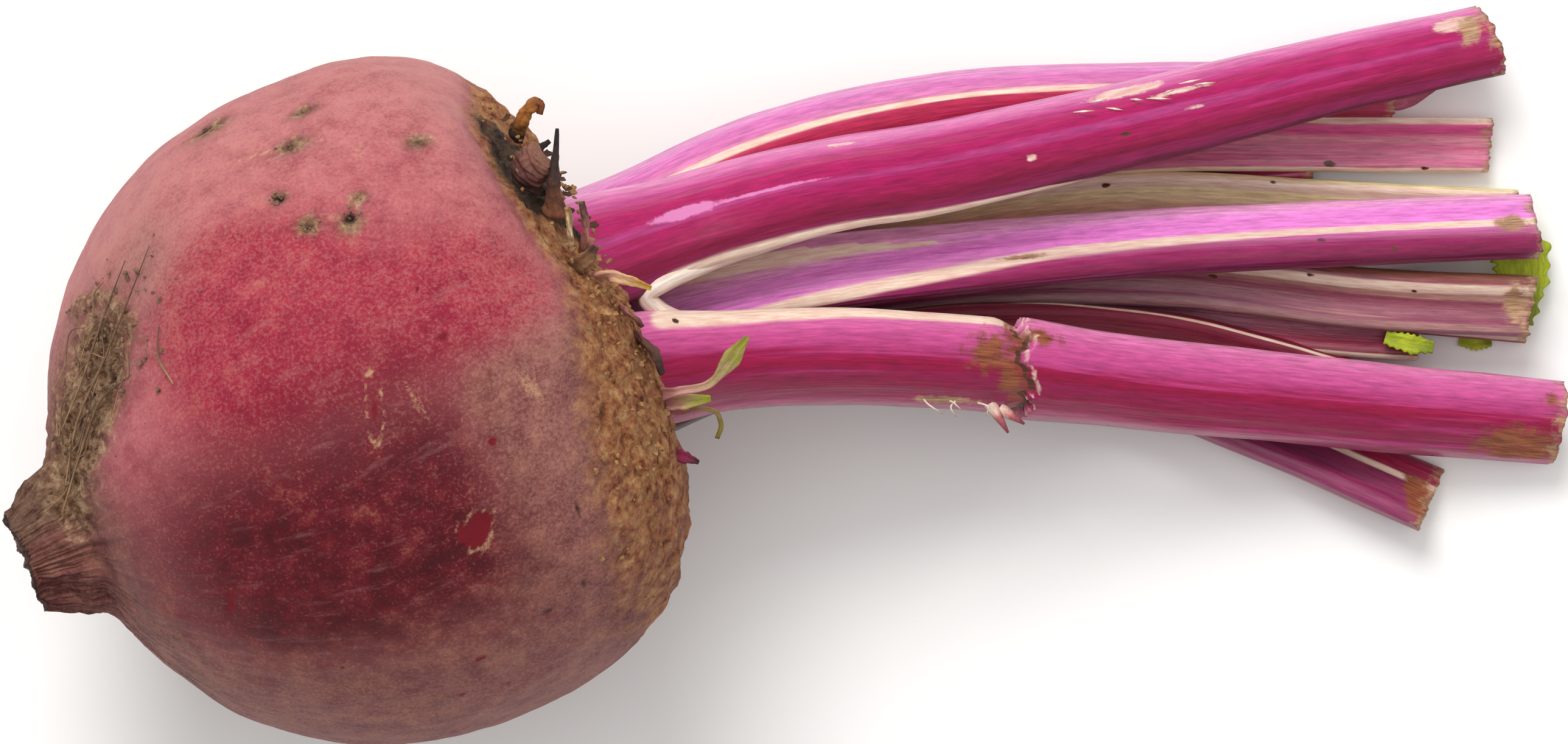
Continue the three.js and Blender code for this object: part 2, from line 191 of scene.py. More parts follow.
def channel_section(count):
    """A half-moon stalk section, one unit to each side and below, with a channel above."""
    corner, lip, floor = np.array([1, 0.25]), np.array([0.85, 0.75]), np.array([0.5, 0.5])
    channel, flip = np.array([0, 0.05]), np.array([-1, 1])
    eighth = count // 8
    back = np.linspace(math.pi, 2 * math.pi, count - 4 * eighth, endpoint=False)
    return np.concatenate([
        bend(corner, lip, floor, eighth),
        bend(floor, channel, floor * flip, 2 * eighth),
        bend(floor * flip, lip * flip, corner * flip, eighth),
        np.stack([np.cos(back), 0.25 + 1.25 * np.sin(back)], axis=1),
    ])


def round_section(count):
    turn = np.linspace(0, 2 * math.pi, count, endpoint=False)
    return np.stack([np.cos(turn), np.sin(turn)], axis=1)


def ring_grid(rings, columns):
    """A grid to be bent into a tube, with the ring and the column of each of its vertices."""
    maker = bmesh.new()
    bmesh.ops.create_grid(maker, x_segments=rings - 1, y_segments=columns, size=1)
    flat = np.array([tuple(v.co) for v in maker.verts])
    ring = np.rint((flat[:, 0] + 1) / 2 * (rings - 1)).astype(int)
    column = np.rint((flat[:, 1] + 1) / 2 * columns).astype(int) % columns
    return maker, ring, column


def section_ways(ways, facing, rolls):
    """Sideways and upward directions along a curve, rolled about it by degrees from foot to tip."""
    side = np.cross(np.asarray(facing, float), ways)
    side /= np.linalg.norm(side, axis=1, keepdims=True)
    up = np.cross(ways, side)
    share = np.linspace(0, 1, len(ways))
    roll = np.radians(mix(rolls[0], rolls[1], smooth(share, 0, 0.6)))[:, None]
    return side * np.cos(roll) + up * np.sin(roll), up * np.cos(roll) - side * np.sin(roll)


def sweep(section, route, sizes, rows, caps=5, rolls=(0, 0), facing=(0, 0, 1), relief=None, end=None):
    """Sweeps a section along a curve as one closed mesh of rings, its ends closed by shrinking rings.
    relief(section, share) swells it by shares of its size; end(section, share) moves it lengthwise.
    Returns the bmesh and what each vertex knows: its share of the way, section spot and cap depth."""
    spots, ways, length = smooth_curve([Vector(p) for p in route], rows)
    side, up = section_ways(ways, facing, rolls)
    shrink = np.cos(np.linspace(0, math.pi / 2, caps + 1))[1:]
    ring_share = np.concatenate([np.zeros(caps), np.linspace(0, 1, rows), np.ones(caps)])
    ring_size = np.concatenate([shrink[::-1], np.ones(rows), shrink])
    maker, ring, column = ring_grid(rows + 2 * caps, len(section))
    at, spot = np.clip(ring - caps, 0, rows - 1), section[column]
    share, inset = ring_share[ring], ring_size[ring]
    place = spot * inset[:, None]
    offset = place * (through(sizes, share) / 2)
    swollen = offset * (1 + relief(spot, share) * inset)[:, None] if relief else offset
    points = spots[at] + side[at] * swollen[:, :1] + up[at] * swollen[:, 1:]
    if end:
        points += ways[at] * end(place, share)[:, None]
    for vertex, point in zip(maker.verts, points):
        vertex.co = point
    return maker, {"share": share, "spot": spot, "inset": inset, "ring": ring, "middle": spots[at],
                   "way": ways[at], "fibre": np.column_stack([offset, share * length])}


def close_seams(maker, reach=0.004):
    bmesh.ops.remove_doubles(maker, verts=maker.verts, dist=reach)
    bmesh.ops.recalc_face_normals(maker, faces=maker.faces)


def uneven(depth, around, lengthwise, octaves, seed):
    """A relief of slow lumps: how deep, and how many round the section and along the way."""
    def relief(spot, share):
        return depth * fractal(np.column_stack([spot * around, share * lengthwise]), 1.0, octaves, seed)
    return relief


def withered(seed, depth):
    return uneven(depth, 0.9, 6, 3, seed)


def make_grown(name, section, route, sizes, rows, material, slot, replaces=(), caps=4, **how):
    """A swept piece whose material knows the way from its foot to its tip."""
    maker, known = sweep(section, route, sizes, rows, caps, **how)
    layer_values(maker, {"way": known["share"], "fibre": known["fibre"]})
    close_seams(maker)
    return finished(name, maker, material, replaces)


# ------------------------------------------------------------------ materials


def srgb(code):
    parts = [int(code[i:i + 2], 16) / 255 for i in (1, 3, 5)]
    return tuple(c / 12.92 if c <= 0.04045 else ((c + 0.055) / 1.055) ** 2.4 for c in parts) + (1.0,)


def add(tree, kind, inputs=None, out=0, stops=None, **settings):
    """Adds a node, sets it up and returns one of its outputs. An input is a value, #colour or output."""
    made = tree.nodes.new("ShaderNode" + kind)
    for key, value in settings.items():
        setattr(made, key, value)
    for place, (position, code) in enumerate(stops or ()):
        steps = made.color_ramp.elements
        step = steps[place] if place < 2 else steps.new(position)
        step.position, step.color = position, srgb(code)
    for key, value in (inputs or {}).items():
        if isinstance(value, bpy.types.NodeSocket):
            tree.links.new(value, made.inputs[key])
        else:
            made.inputs[key].default_value = srgb(value) if isinstance(value, str) else value
    return made.outputs[out]


MIX_COLOUR = {"data_type": "RGBA", "clamp_factor": True, "out": 2}
FACTOR, COLOUR_A, COLOUR_B = 0, 6, 7


def new_material(name):
    material = bpy.data.materials.new(name)
    material.use_nodes = True
    tree = material.node_tree
    shader = tree.nodes["Principled BSDF"]
    return material, tree, shader


def per_metre(millimetres):
    """Noise scale on Object coordinates for features of a size."""
    return 1 / (millimetres * MM)


def masks(tree, names):
    """The values from 0 to 1 that each point of the mesh carries."""
    return {name: add(tree, "Attribute", out="Fac", attribute_name=name) for name in names}


def carried(tree, name):
    """The place that each point of the mesh carries, in millimetres."""
    return add(tree, "Attribute", out="Vector", attribute_name=name)


def clouds(tree, where, scale, detail, roughness):
    return add(tree, "TexNoise", {"Vector": where, "Scale": scale, "Detail": detail, "Roughness": roughness})


def drawn_out(tree, fibre, lengthwise):
    """The place on a stalk with its length shortened, so that patterns run along it."""
    return add(tree, "VectorMath", {0: fibre, 1: (1, 1, lengthwise)}, operation="MULTIPLY")


def tones(tree, texture, *stops):
    """A run of colours over a texture, its two ends first: [texture's value, colour]."""
    return add(tree, "ValToRGB", {"Fac": texture}, stops=stops)


def over(tree, below, above, share):
    return add(tree, "Mix", {FACTOR: share, COLOUR_A: below, COLOUR_B: above}, **MIX_COLOUR)


def shaded(tree, colour, shade):
    inputs = {FACTOR: 1.0, COLOUR_A: colour, COLOUR_B: shade}
    return add(tree, "Mix", inputs, blend_type="MULTIPLY", **MIX_COLOUR)


def spread(tree, value, low, high, start=0.0, stop=1.0, **settings):
    """Start where a value is low, stop where it is high, and in between."""
    return add(tree, "MapRange", {"Value": value, "From Min": low, "From Max": high,
                                  "To Min": start, "To Max": stop}, **settings)


def off_middle(tree, texture):
    return add(tree, "Math", {0: texture, 1: 0.5}, operation="SUBTRACT")


def plus(tree, base, value, times, **settings):
    """A base plus a value a number of times."""
    return add(tree, "Math", {0: value, 1: times, 2: base}, operation="MULTIPLY_ADD", **settings)


def greater(tree, one, other):
    return add(tree, "Math", {0: one, 1: other}, operation="MAXIMUM")


def ragged(tree, mask, texture, strength, low=0.15, high=0.85):
    """A mask whose edge follows a texture."""
    return spread(tree, plus(tree, mask, off_middle(tree, texture), strength), low, high,
                  interpolation_type="SMOOTHSTEP")


def bumps(tree, height, strength, distance, under=None):
    """Small relief, its distance in millimetres, on top of another."""
    inputs = {"Height": height, "Strength": strength, "Distance": distance * MM}
    if under is not None:
        inputs["Normal"] = under
    return add(tree, "Bump", inputs)


# Stains of the skin, the deep red one partly painted shade: their mask, how ragged its edge is, and the dark
# and the light colour.
STAINS = [("bloom", 0.6, "#860e2e", "#a2263e"), ("wine_and_shade", 0.7, "#420610", "#6c1622"),
          ("mauve", 0.8, "#5a2c2a", "#885248")]
SKIN_MASKS = ("bloom", "wine_and_shade", "mauve", "dust", "collar", "char", "tail", "soil", "pale", "fresh", "dark")


def red_skin(tree, mask, cloud, grain, streak, speck):
    """The living skin: dull rose, crimson where rubbed, deep red below that is partly pigment and partly
    painted shade, powdered and pricked.
    """
    colour = tones(tree, cloud, (0.35, "#96404a"), (0.65, "#b8646a"))
    for name, strength, dark, light in STAINS:
        colour = over(tree, colour, tones(tree, cloud, (0.35, dark), (0.65, light)),
                      ragged(tree, mask[name], cloud, strength, 0.0, 1.0))
    colour = over(tree, colour, "#b07c78", spread(tree, streak, 0.56, 0.8, stop=0.35))
    powder = plus(tree, grain, mask["dust"], 0.22)
    powder = plus(tree, powder, cloud, 0.25)
    powder = plus(tree, powder, mask["wine_and_shade"], -0.1)
    colour = over(tree, colour, "#c08c80", spread(tree, powder, 0.57, 0.86, stop=0.46))
    return over(tree, colour, "#3c0c16", spread(tree, speck, 0.2, 0.05, stop=0.4))


def crusts_and_scars(tree, colour, mask, cloud, grain, streak, crumb):
    """Cork at the crown, charred leaf bases, bark on the tail, soil, grazes, fresh flesh and dark pits."""
    cork = tones(tree, crumb, (0.33, "#44200f"), (0.7, "#e6c094"), (0.42, "#985834"), (0.5, "#c07e50"),
                 (0.58, "#d49e66"))
    colour = over(tree, colour, cork, ragged(tree, mask["collar"], cloud, 1.5, 0.1, 1.0))
    char = tones(tree, crumb, (0.4, "#1a1210"), (0.62, "#6c5440"))
    colour = over(tree, colour, char, ragged(tree, mask["char"], cloud, 1.2))
    furrows = add(tree, "Math", {0: streak, 1: crumb}, operation="ADD")
    furrows = add(tree, "Math", {0: furrows, 1: 0.5}, operation="MULTIPLY")
    bark = tones(tree, furrows, (0.4, "#5c3426"), (0.6, "#b48c74"))
    colour = over(tree, colour, bark, ragged(tree, mask["tail"], cloud, 0.9))
    soil = tones(tree, crumb, (0.36, "#2c1a12"), (0.68, "#dcb894"), (0.45, "#7e583c"), (0.55, "#b48e6c"))
    colour = over(tree, colour, soil, ragged(tree, mask["soil"], crumb, 1.1))
    colour = over(tree, colour, "#b98e6c", ragged(tree, mask["pale"], grain, 1.2, 0.3, 0.9))
    colour = over(tree, colour, "#70101e", ragged(tree, mask["fresh"], crumb, 0.8, 0.35, 0.75))
    return over(tree, colour, "#1c0e0c", ragged(tree, mask["dark"], crumb, 1.0, 0.25, 0.8))


def root_skin():
    """Beetroot skin: thin cork over dark red flesh, matt, dusted with dry soil, scurfy at the crown."""
    material, tree, shader = new_material("beetroot skin")
    mask = masks(tree, SKIN_MASKS)
    spot = add(tree, "TexCoord", out="Object")
    cloud = clouds(tree, spot, per_metre(3.5), 7.0, 0.68)
    grain = clouds(tree, spot, per_metre(0.4), 6.0, 0.75)
    crumb = clouds(tree, spot, per_metre(1.5), 8.0, 0.72)
    streak = clouds(tree, carried(tree, "meridian"), 1.0, 6.0, 0.65)
    speck = add(tree, "TexVoronoi", {"Vector": spot, "Scale": per_metre(0.8)}, feature="F1")
    colour = red_skin(tree, mask, cloud, grain, streak, speck)
    colour = crusts_and_scars(tree, colour, mask, cloud, grain, streak, crumb)
    tree.links.new(colour, shader.inputs["Base Color"])
    shader.inputs["IOR"].default_value = 1.45
    shader.inputs["Specular IOR Level"].default_value = 0.18
    shader.inputs["Sheen Weight"].default_value = 0.07
    shader.inputs["Sheen Roughness"].default_value = 0.5
    shader.inputs["Sheen Tint"].default_value = srgb("#f0c8c8")
    dull = greater(tree, mask["collar"], mask["soil"])
    rough = spread(tree, cloud, 0.0, 1.0, 0.42, 0.7)
    tree.links.new(plus(tree, rough, dull, 0.3, use_clamp=True), shader.inputs["Roughness"])
    crust = add(tree, "Math", {0: greater(tree, dull, mask["tail"]), 1: crumb}, operation="MULTIPLY")
    lines = bumps(tree, streak, 0.6, 0.3, bumps(tree, grain, 0.6, 0.14))
    tree.links.new(bumps(tree, crust, 1.0, 1.6, lines), shader.inputs["Normal"])
    return material


# Hurt places of a stalk: its mask, the dark and the light colour of its threads.
HURTS = [("bruise", "#5c1418", "#a8643c"), ("torn", "#bc7c78", "#ecd0c4"), ("cut", "#6c4030", "#d0a880"),
         ("speck", "#34180e", "#6a4028")]


def stalk_skin(name, bands, streaks, shine=0.28):
    """Fresh leaf stalk: a smooth, glossy cuticle over juicy ribs that looks moist, its pigment in stripes,
    and a painted reflection of the lamp where its glint mask is.
    """
    material, tree, shader = new_material(name)
    mask = masks(tree, ("across", "lip", "cut", "bruise", "torn", "painted_glint", "speck"))
    fibre = carried(tree, "fibre")
    stripe = clouds(tree, drawn_out(tree, fibre, 0.025), 1 / 0.9, 4.0, 0.65)
    thread = clouds(tree, drawn_out(tree, fibre, 0.09), 1 / 0.3, 5.0, 0.65)
    blotch = clouds(tree, fibre, 1 / 1.6, 7.0, 0.7)

    place = plus(tree, 0.5, mask["across"], 0.5)
    place = plus(tree, place, off_middle(tree, stripe), 0.22)
    stops = [((spot + 1) / 2, code) for spot, code in bands]
    colour = tones(tree, place, stops[0], stops[-1], *stops[1:-1])
    colour = over(tree, colour, streaks, spread(tree, stripe, 0.56, 0.72, stop=0.55))
    colour = shaded(tree, colour, spread(tree, thread, 0.3, 0.7, 0.62, 1.14))
    flesh = tones(tree, thread, (0.3, "#d6a894"), (0.7, "#f2e0cc"))
    colour = over(tree, colour, flesh, ragged(tree, mask["lip"], stripe, 0.7, 0.25, 0.7))
    # Painted reflection: a lilac patch where the glint mask is, standing in for the lamp's reflection on the
    # gloss.
    colour = over(tree, colour, "#d078ac", ragged(tree, mask["painted_glint"], blotch, 0.9, 0.35, 0.6))
    for key, dark, light in HURTS:
        hurt = over(tree, dark, light, spread(tree, thread, 0.3, 0.7))
        colour = over(tree, colour, hurt, ragged(tree, mask[key], blotch, 1.2, 0.3, 0.65))
    tree.links.new(colour, shader.inputs["Base Color"])
    shader.inputs["IOR"].default_value = 1.42
    rough = spread(tree, blotch, 0.0, 1.0, shine - 0.1, shine + 0.16)
    rough = plus(tree, rough, greater(tree, mask["bruise"], mask["cut"]), 0.35, use_clamp=True)
    tree.links.new(rough, shader.inputs["Roughness"])
    ribs = bumps(tree, stripe, 0.5, 0.25)
    tree.links.new(bumps(tree, thread, 0.4, 0.08, ribs), shader.inputs["Normal"])
    return material


def plant_scrap(name, dark, light, size, roughness, depth=0.15):
    """Dried or living scraps of leaf: mottled across a size, darker in the hollows."""
    material, tree, shader = new_material(name)
    mottle = clouds(tree, add(tree, "TexCoord", out="Object"), per_metre(size), 6.0, 0.7)
    tree.links.new(tones(tree, mottle, (0.32, dark), (0.68, light)), shader.inputs["Base Color"])
    shader.inputs["IOR"].default_value = 1.45
    shader.inputs["Roughness"].default_value = roughness
    tree.links.new(bumps(tree, mottle, 0.8, depth), shader.inputs["Normal"])
    return material


def dried_leaf(name, foot, middle, tip, roughness=0.7):
    """A dead leaf base: papery, browned towards its tip, its veins drawn lengthwise."""
    material, tree, shader = new_material(name)
    way = masks(tree, ("way",))["way"]
    mottle = clouds(tree, add(tree, "TexCoord", out="Object"), per_metre(0.9), 7.0, 0.72)
    vein = clouds(tree, drawn_out(tree, carried(tree, "fibre"), 0.15), 1 / 0.35, 4.0, 0.6)
    place = plus(tree, way, off_middle(tree, mottle), 0.9)
    colour = tones(tree, place, (0.1, foot), (0.9, tip), (0.5, middle))
    colour = shaded(tree, colour, spread(tree, vein, 0.3, 0.7, 0.65, 1.25))
    tree.links.new(colour, shader.inputs["Base Color"])
    shader.inputs["IOR"].default_value = 1.45
    shader.inputs["Roughness"].default_value = roughness
    crumpled = bumps(tree, mottle, 0.8, 0.25)
    tree.links.new(bumps(tree, vein, 0.6, 0.12, crumpled), shader.inputs["Normal"])
    return material


# ------------------------------------------------------------------ camera, floor and light

SEEN_FROM = (17.2, -9.5, 735.0)         # from the stalks' start along +X and +Y, and above the surface
LIT_TOWARDS = (40, 0, 30)
LAMPS = [("key", (-150, 700, 950), 0.55, 9.5), ("top", (50, 100, 1500), 1.3, 6.5)]
WORLD_LIGHT = 0.5


def add_camera():
    camera = bpy.data.cameras.new("camera")
    camera.lens, camera.sensor_width = 135, 36
    camera.clip_end = 10
    seen_from = bpy.data.objects.new("camera", camera)
    ahead, aside, above = SEEN_FROM
    seen_from.location = Vector((STALKS_FROM.x + ahead, STALKS_FROM.y + aside, above)) * MM
    bpy.context.scene.collection.objects.link(seen_from)
    bpy.context.scene.camera = seen_from


def add_floor():
    maker = bmesh.new()
    bmesh.ops.create_grid(maker, x_segments=1, y_segments=1, size=3.0)
    mesh = bpy.data.meshes.new("floor")
    maker.to_mesh(mesh)
    maker.free()
    material, _, shader = new_material("pale studio floor")
    shader.inputs["Base Color"].default_value = srgb("#f6f5f3")
    shader.inputs["Roughness"].default_value = 0.9
    mesh.materials.append(material)
    floor = bpy.data.objects.new("floor", mesh)
    bpy.context.scene.collection.objects.link(floor)


def add_lights():
    """Two soft round lamps, their places in millimetres and their sizes in metres, and a white room."""
    for name, place, size, power in LAMPS:
        light = bpy.data.lights.new(name, "AREA")
        light.shape, light.size, light.energy = "DISK", size, power
        lamp = bpy.data.objects.new(name, light)
        lamp.location = Vector(place) * MM
        lamp.rotation_euler = (Vector(place) - Vector(LIT_TOWARDS)).to_track_quat("Z", "Y").to_euler()
        bpy.context.scene.collection.objects.link(lamp)
    world = bpy.data.worlds.new("studio")
    world.use_nodes = True
    background = world.node_tree.nodes["Background"]
    background.inputs["Color"].default_value = (1, 1, 1, 1)
    background.inputs["Strength"].default_value = WORLD_LIGHT
    bpy.context.scene.world = world
    bpy.context.scene.view_settings.view_transform = "Standard"


add_camera()
add_floor()
add_lights()

# ------------------------------------------------------------------ the root

CUT_RINGS = 30                  # rings of the outline across the tail's cut

# Places on the skin are along the axis from the widest ring, then degrees round it from the top.
# Spots: [strength, along, degrees, half length, half width, slant]. Strokes: [strength, start, end, width].
CLODS = [(0.85, -6.6, 69, 3.2, 2.4), (0.85, 3.4, 58, 2.1, 1.2), (0.85, 0.3, 50, 2.4, 1.6),
         (0.85, 13.0, 40, 1.8, 1.3), (0.85, -4.0, 40, 1.2, 1.1), (0.85, 1.7, 29, 1.9, 1.7),
         (0.85, -2.6, 32, 1.8, 1.5), (0.85, 4.0, 33, 1.2, 1.0)]
FURROW_SOIL = [(1.0, -31.5, 47, 6.0, 7.5), (0.9, -37, 36, 4.5, 6.0)]
FURROW_RIM = [(1, (-30, 70), (-26.3, 56), 0.8), (1, (-26.3, 56), (-24.3, 30), 0.8)]
PITS = [(1, 2.0, 30, 0.9, 0.9), (1, -4.0, 40, 0.8, 0.8), (0.8, -7.2, 70, 1.4, 1.0),
        (0.6, 10.2, -46, 0.7, 1.1), (0.6, 5.2, -48, 0.9, 0.7), (0.7, -0.1, 50, 1.2, 0.8),
        (0.7, 3.1, 58, 1, 0.5), (0.7, 13, 40, 0.9, 0.6), (0.7, -2.6, 32, 1, 0.8)]
SLIT = [(0.9, (-3.7, 2.5), (-5.6, -4.5), 0.45)]
SLIT_HALO = [(1, (-3.3, 4.6), (-6.0, -6.6), 0.95)]
PEELED = [(1, 0.7, -27, 2.3, 1.7, 30)]
PEELED_HALO = [(1, 0.7, -27, 3.6, 2.8, 30)]
FRESH_NICKS = [(1, 5.7, 5, 1.1, 0.7), (1, 6, -14, 0.8, 0.6), (1, -3.8, -52, 1.2, 0.6),
               (1, -1.4, -63, 0.5, 0.5), (1, -6.9, -61, 0.6, 0.5), (0.5, -1.5, -20, 1.2, 0.4)]
GASH = (-26, -24), (-27.8, -34)
CRACKS = [(1, (12.9, -28), (12.4, -35), 0.4), (1, (20.4, -16), (18.9, -23), 0.5), (0.6, *GASH, 0.25)]
GRAZES = [(0.8, (-0.3, 2.5), (0.2, -8.5), 0.6), (0.8, (11.6, -4), (13.6, -13), 1.2),
          (1.2, (-8.2, 54.5), (5.9, 46.5), 0.35), (0.5, (8, 2), (10, -8), 0.3),
          (0.5, (3, -2), (4.5, -12), 0.3)]
SCUFF = [(0.7, 6.4, 42, 2.2, 0.8, 60)]
BLOOM = [(1, -9, 24, 12, 10), (1, -15, 32, 7, 7), (1, -14, 14, 10, 9), (1, 4, 10, 14, 8), (1, 12, 10, 7, 6)]
# A faint spot on the -Y side that adds to the deep red stain, partly painted shade.
WINE_AND_SHADE_SPOT = [(0.3, -21, -21, 4, 2.5)]
HAZE = [(0.6, -20.5, 50, 5.5, 8), (0.6, -31, 64, 5, 8)]
POWDER = [(0.25, 12, -25, 14, 16), (0.5, -22, 56, 7, 12)]

# Where the cork of the crown starts: degrees, and how far ahead of the widest ring, then its softness.
CORK_STARTS = [(-150, 24), (-90, 18), (-60, 13), (-43, 14.5), (-30, 16), (-19, 17.5), (-8, 19), (0, 21),
               (8, 22.5), (18, 21.5), (30, 21), (46, 21), (60, 23), (90, 25)]
CORK_SOFTNESS = [(-90, 8), (-45, 6), (-10, 4), (20, 2), (60, 2)]

# How far a mark stands off the skin, in millimetres.
MARK_HEIGHTS = {"slit_rim": 0.1, "slit": -0.25, "pits": -0.35, "peeled": -0.2, "cracks": -0.5, "graze": -0.06}


def root_outline():
    """Points of the outline from the crown to the middle of the tail's cut: distance along, radius."""
    quarter = np.linspace(0, math.pi / 2, 400)
    along = np.concatenate([BODY_FRONT * np.cos(quarter), -TAIL_LENGTH * np.sin(quarter)[1:]])
    outline = np.column_stack([along, outline_radius(along)])
    inwards = np.linspace(1, 0, CUT_RINGS + 1)[1:] * outline[-1, 1]
    return np.concatenate([outline, np.column_stack([np.full(CUT_RINGS, -TAIL_LENGTH), inwards])])


class Skin:
    """The root's skin as a ball of rings, and what each of its points knows."""

    def __init__(self):
        self.maker = bmesh.new()
        bmesh.ops.create_uvsphere(self.maker, u_segments=420, v_segments=206, radius=1)
        ball = np.array([tuple(v.co) for v in self.maker.verts])
        outline = root_outline()
        reach = np.concatenate([[0], np.cumsum(np.linalg.norm(np.diff(outline, axis=0), axis=1))])
        place = np.arccos(np.clip(ball[:, 2], -1, 1)) / math.pi * reach[-1]
        self.along, self.radius = (np.interp(place, reach, outline[:, k]) for k in range(2))
        slope = np.gradient(outline, reach, axis=0)
        lean = np.column_stack([np.interp(place, reach, slope[:, 1]), np.interp(place, reach, -slope[:, 0])])
        self.lean = lean / np.linalg.norm(lean, axis=1, keepdims=True)
        self.on_side = np.where(place < reach[-CUT_RINGS - 1], 1.0, 0.0)
        self.turn = np.arctan2(ball[:, 0], ball[:, 1])
        self.degrees = np.degrees(self.turn)
        around = np.column_stack([np.cos(self.turn), np.sin(self.turn)])
        self.meridian = np.column_stack([around * 26, self.along * 0.16])
        self.space = np.column_stack([self.along, self.radius * around[:, 0], self.radius * around[:, 1]])
        self.lumps = fractal(self.space, 9, 3, 7.0)
        self.fine = fractal(self.space, 2.2, 3, 11.0)

    def near(self, at, around, length, width, slant=0.0):
        """1 at a spot of the skin, fading over a length and a width in millimetres."""
        ahead = self.along - at
        beside = np.radians((self.degrees - around + 180) % 360 - 180) * np.maximum(self.radius, 4)
        tilt = math.radians(slant)
        u = ahead * math.cos(tilt) + beside * math.sin(tilt)
        w = beside * math.cos(tilt) - ahead * math.sin(tilt)
        return np.exp(-(u / length) ** 2 - (w / width) ** 2)

    def stroke(self, start, end, width):
        """1 along a line between two spots of the skin, fading over a width."""
        (at_a, around_a), (at_b, around_b) = start, end
        middle = (at_a + at_b) / 2
        beside = math.radians(around_b - around_a) * float(outline_radius(middle))
        return self.near(middle, (around_a + around_b) / 2, math.hypot(at_b - at_a, beside) / 2, width,
                         math.degrees(math.atan2(beside, at_b - at_a)))

    def spots(self, table):
        return sum(strength * self.near(*place) for strength, *place in table)

    def strokes(self, table):
        return sum(strength * self.stroke(*line) for strength, *line in table)

    def across(self, low, high):
        """0 to 1 between two turns round the axis, in degrees."""
        return smooth(self.degrees, low, high)

    def ahead(self, low, high):
        """0 to 1 between two distances along the axis."""
        return smooth(self.along, low, high)


def skin_zones(skin):
    """The broad parts of the skin: cork at the crown, charred shoulder, tail stub and its neck."""
    start = np.interp(skin.degrees, *zip(*CORK_STARTS))
    softness = np.interp(skin.degrees, *zip(*CORK_SOFTNESS))
    dent = furrow(skin.along, skin.degrees) / FURROW_DEPTH
    return {
        "collar": smooth(skin.along, start - softness, start + softness),
        "char": skin.ahead(21, 23.5) * skin.across(19, 29) * skin.across(62, 50),
        "tail": skin.ahead(-35, -41),
        "neck": skin.ahead(-24, -36) * (1 - dent),
    }


def skin_marks(skin):
    """What happened to the skin: soil stuck on it, pits, cracks, grazes and where it is torn open."""
    crusted = np.clip(skin.spots(FURROW_SOIL), 0, 1)
    rim = np.clip(skin.strokes(FURROW_RIM), 0, 1)
    slit = skin.strokes(SLIT)
    torn_spot = skin.spots(PEELED) + 0.4 * skin.fine + 0.15 * skin.lumps
    peeled = smooth(torn_spot, 0.35, 0.5)
    halo = smooth(torn_spot, 0.15, 0.3) * smooth(skin.spots(PEELED_HALO), 0.3, 0.5)
    return {
        "crusted": crusted, "rim": rim, "slit": slit, "peeled": peeled,
        "soil": np.maximum(skin.spots(CLODS), 1.1 * crusted + 0.4 * rim),
        "pits": skin.spots(PITS),
        "slit_rim": 0.75 * np.exp(-((skin.strokes(SLIT_HALO) - 0.37) / 0.13) ** 2),
        "peeled_rim": halo * (1 - peeled),
        "fresh": peeled + skin.spots(FRESH_NICKS) + slit + skin.stroke(*GASH, 0.45),
        "cracks": skin.strokes(CRACKS),
        "graze": skin.strokes(GRAZES) + skin.spots(SCUFF),
    }


def skin_lift(skin, zone, mark):
    """How far each point stands off the smooth outline, in millimetres."""
    space, fine, lumps = skin.space, skin.fine, skin.lumps
    lines = fractal(skin.meridian, 1.6, 3, 5.0)
    wrinkles = fractal(skin.meridian * (1, 1, 0.5), 0.9, 3, 9.0)
    rings = np.sin(skin.along * 2.3 + 1.2 * fractal(space, 7, 2, 21.0)) * skin.ahead(17, 23)
    tail, crusted = zone["tail"], mark["crusted"]
    lift = 0.7 * fractal(space, 34, 2, 3.0) + 0.25 * lumps + 0.05 * fine + 0.10 * lines * (1 - tail)
    lift += zone["collar"] * (0.4 * fine + 0.2 * rings + 0.4 * lumps)
    lift += zone["char"] * 0.7 * fractal(space, 1.6, 3, 51.0)
    lift -= 2.0 * skin.ahead(14, 24) * skin.across(-5, 22) * skin.across(75, 50)
    lift += (tail * 0.3 + zone["neck"] * 0.15) * wrinkles + tail * (0.5 * fine + 0.4 * lumps)
    lift -= furrow(skin.along, skin.degrees)
    lift += crusted * (0.8 * fine + 0.7 * lumps + 0.5 * fractal(space, 1.1, 3, 41.0))
    lift += 0.8 * mark["rim"] * (1 + fine)
    for name, height in MARK_HEIGHTS.items():
        lift += height * mark[name]
    return lift


def skin_masks(skin, zone, mark):
    """Where each colour of the skin shows, 0 to 1."""
    # Deep red on the -Y side, turned from the key lamp, mostly behind the widest ring: partly the skin's
    # colour, partly painted shade.
    wine_and_shade = skin.across(26, -18) * skin.ahead(17, -3) * (0.6 + 0.4 * skin.ahead(-37, -22))
    brown = np.clip(1.2 * skin.ahead(-1, 10) * skin.across(8, -8) + skin.across(-28, -54), 0, 1)
    found = {
        "wine_and_shade": wine_and_shade * skin.across(-60, -34) + skin.spots(WINE_AND_SHADE_SPOT),
        "mauve": skin.spots(HAZE) + 0.8 * brown + 0.7 * skin.across(90, 130) + 0.9 * skin.ahead(-30, -38),
        "dust": skin.spots(POWDER) + 0.55 * skin.across(26, 60) + 0.3 * skin.ahead(6, 20),
        "collar": zone["collar"] * (1 - 0.35 * skin.across(-30, -60)),
        "char": zone["char"],
        "tail": zone["tail"] * (0.3 + 0.7 * skin.across(5, 35)) * skin.across(150, 110),
        "soil": mark["soil"],
        "fresh": mark["fresh"],
        "pale": mark["slit_rim"] + 0.8 * mark["graze"] + 0.7 * mark["peeled_rim"],
        "dark": 0.65 * mark["cracks"] + mark["pits"] + (1 - skin.on_side) * 0.6,
    }
    found = {name: np.clip(value, 0, 1) for name, value in found.items()}
    return dict(found, bloom=np.clip(skin.spots(BLOOM), 0, 1) * 0.95)


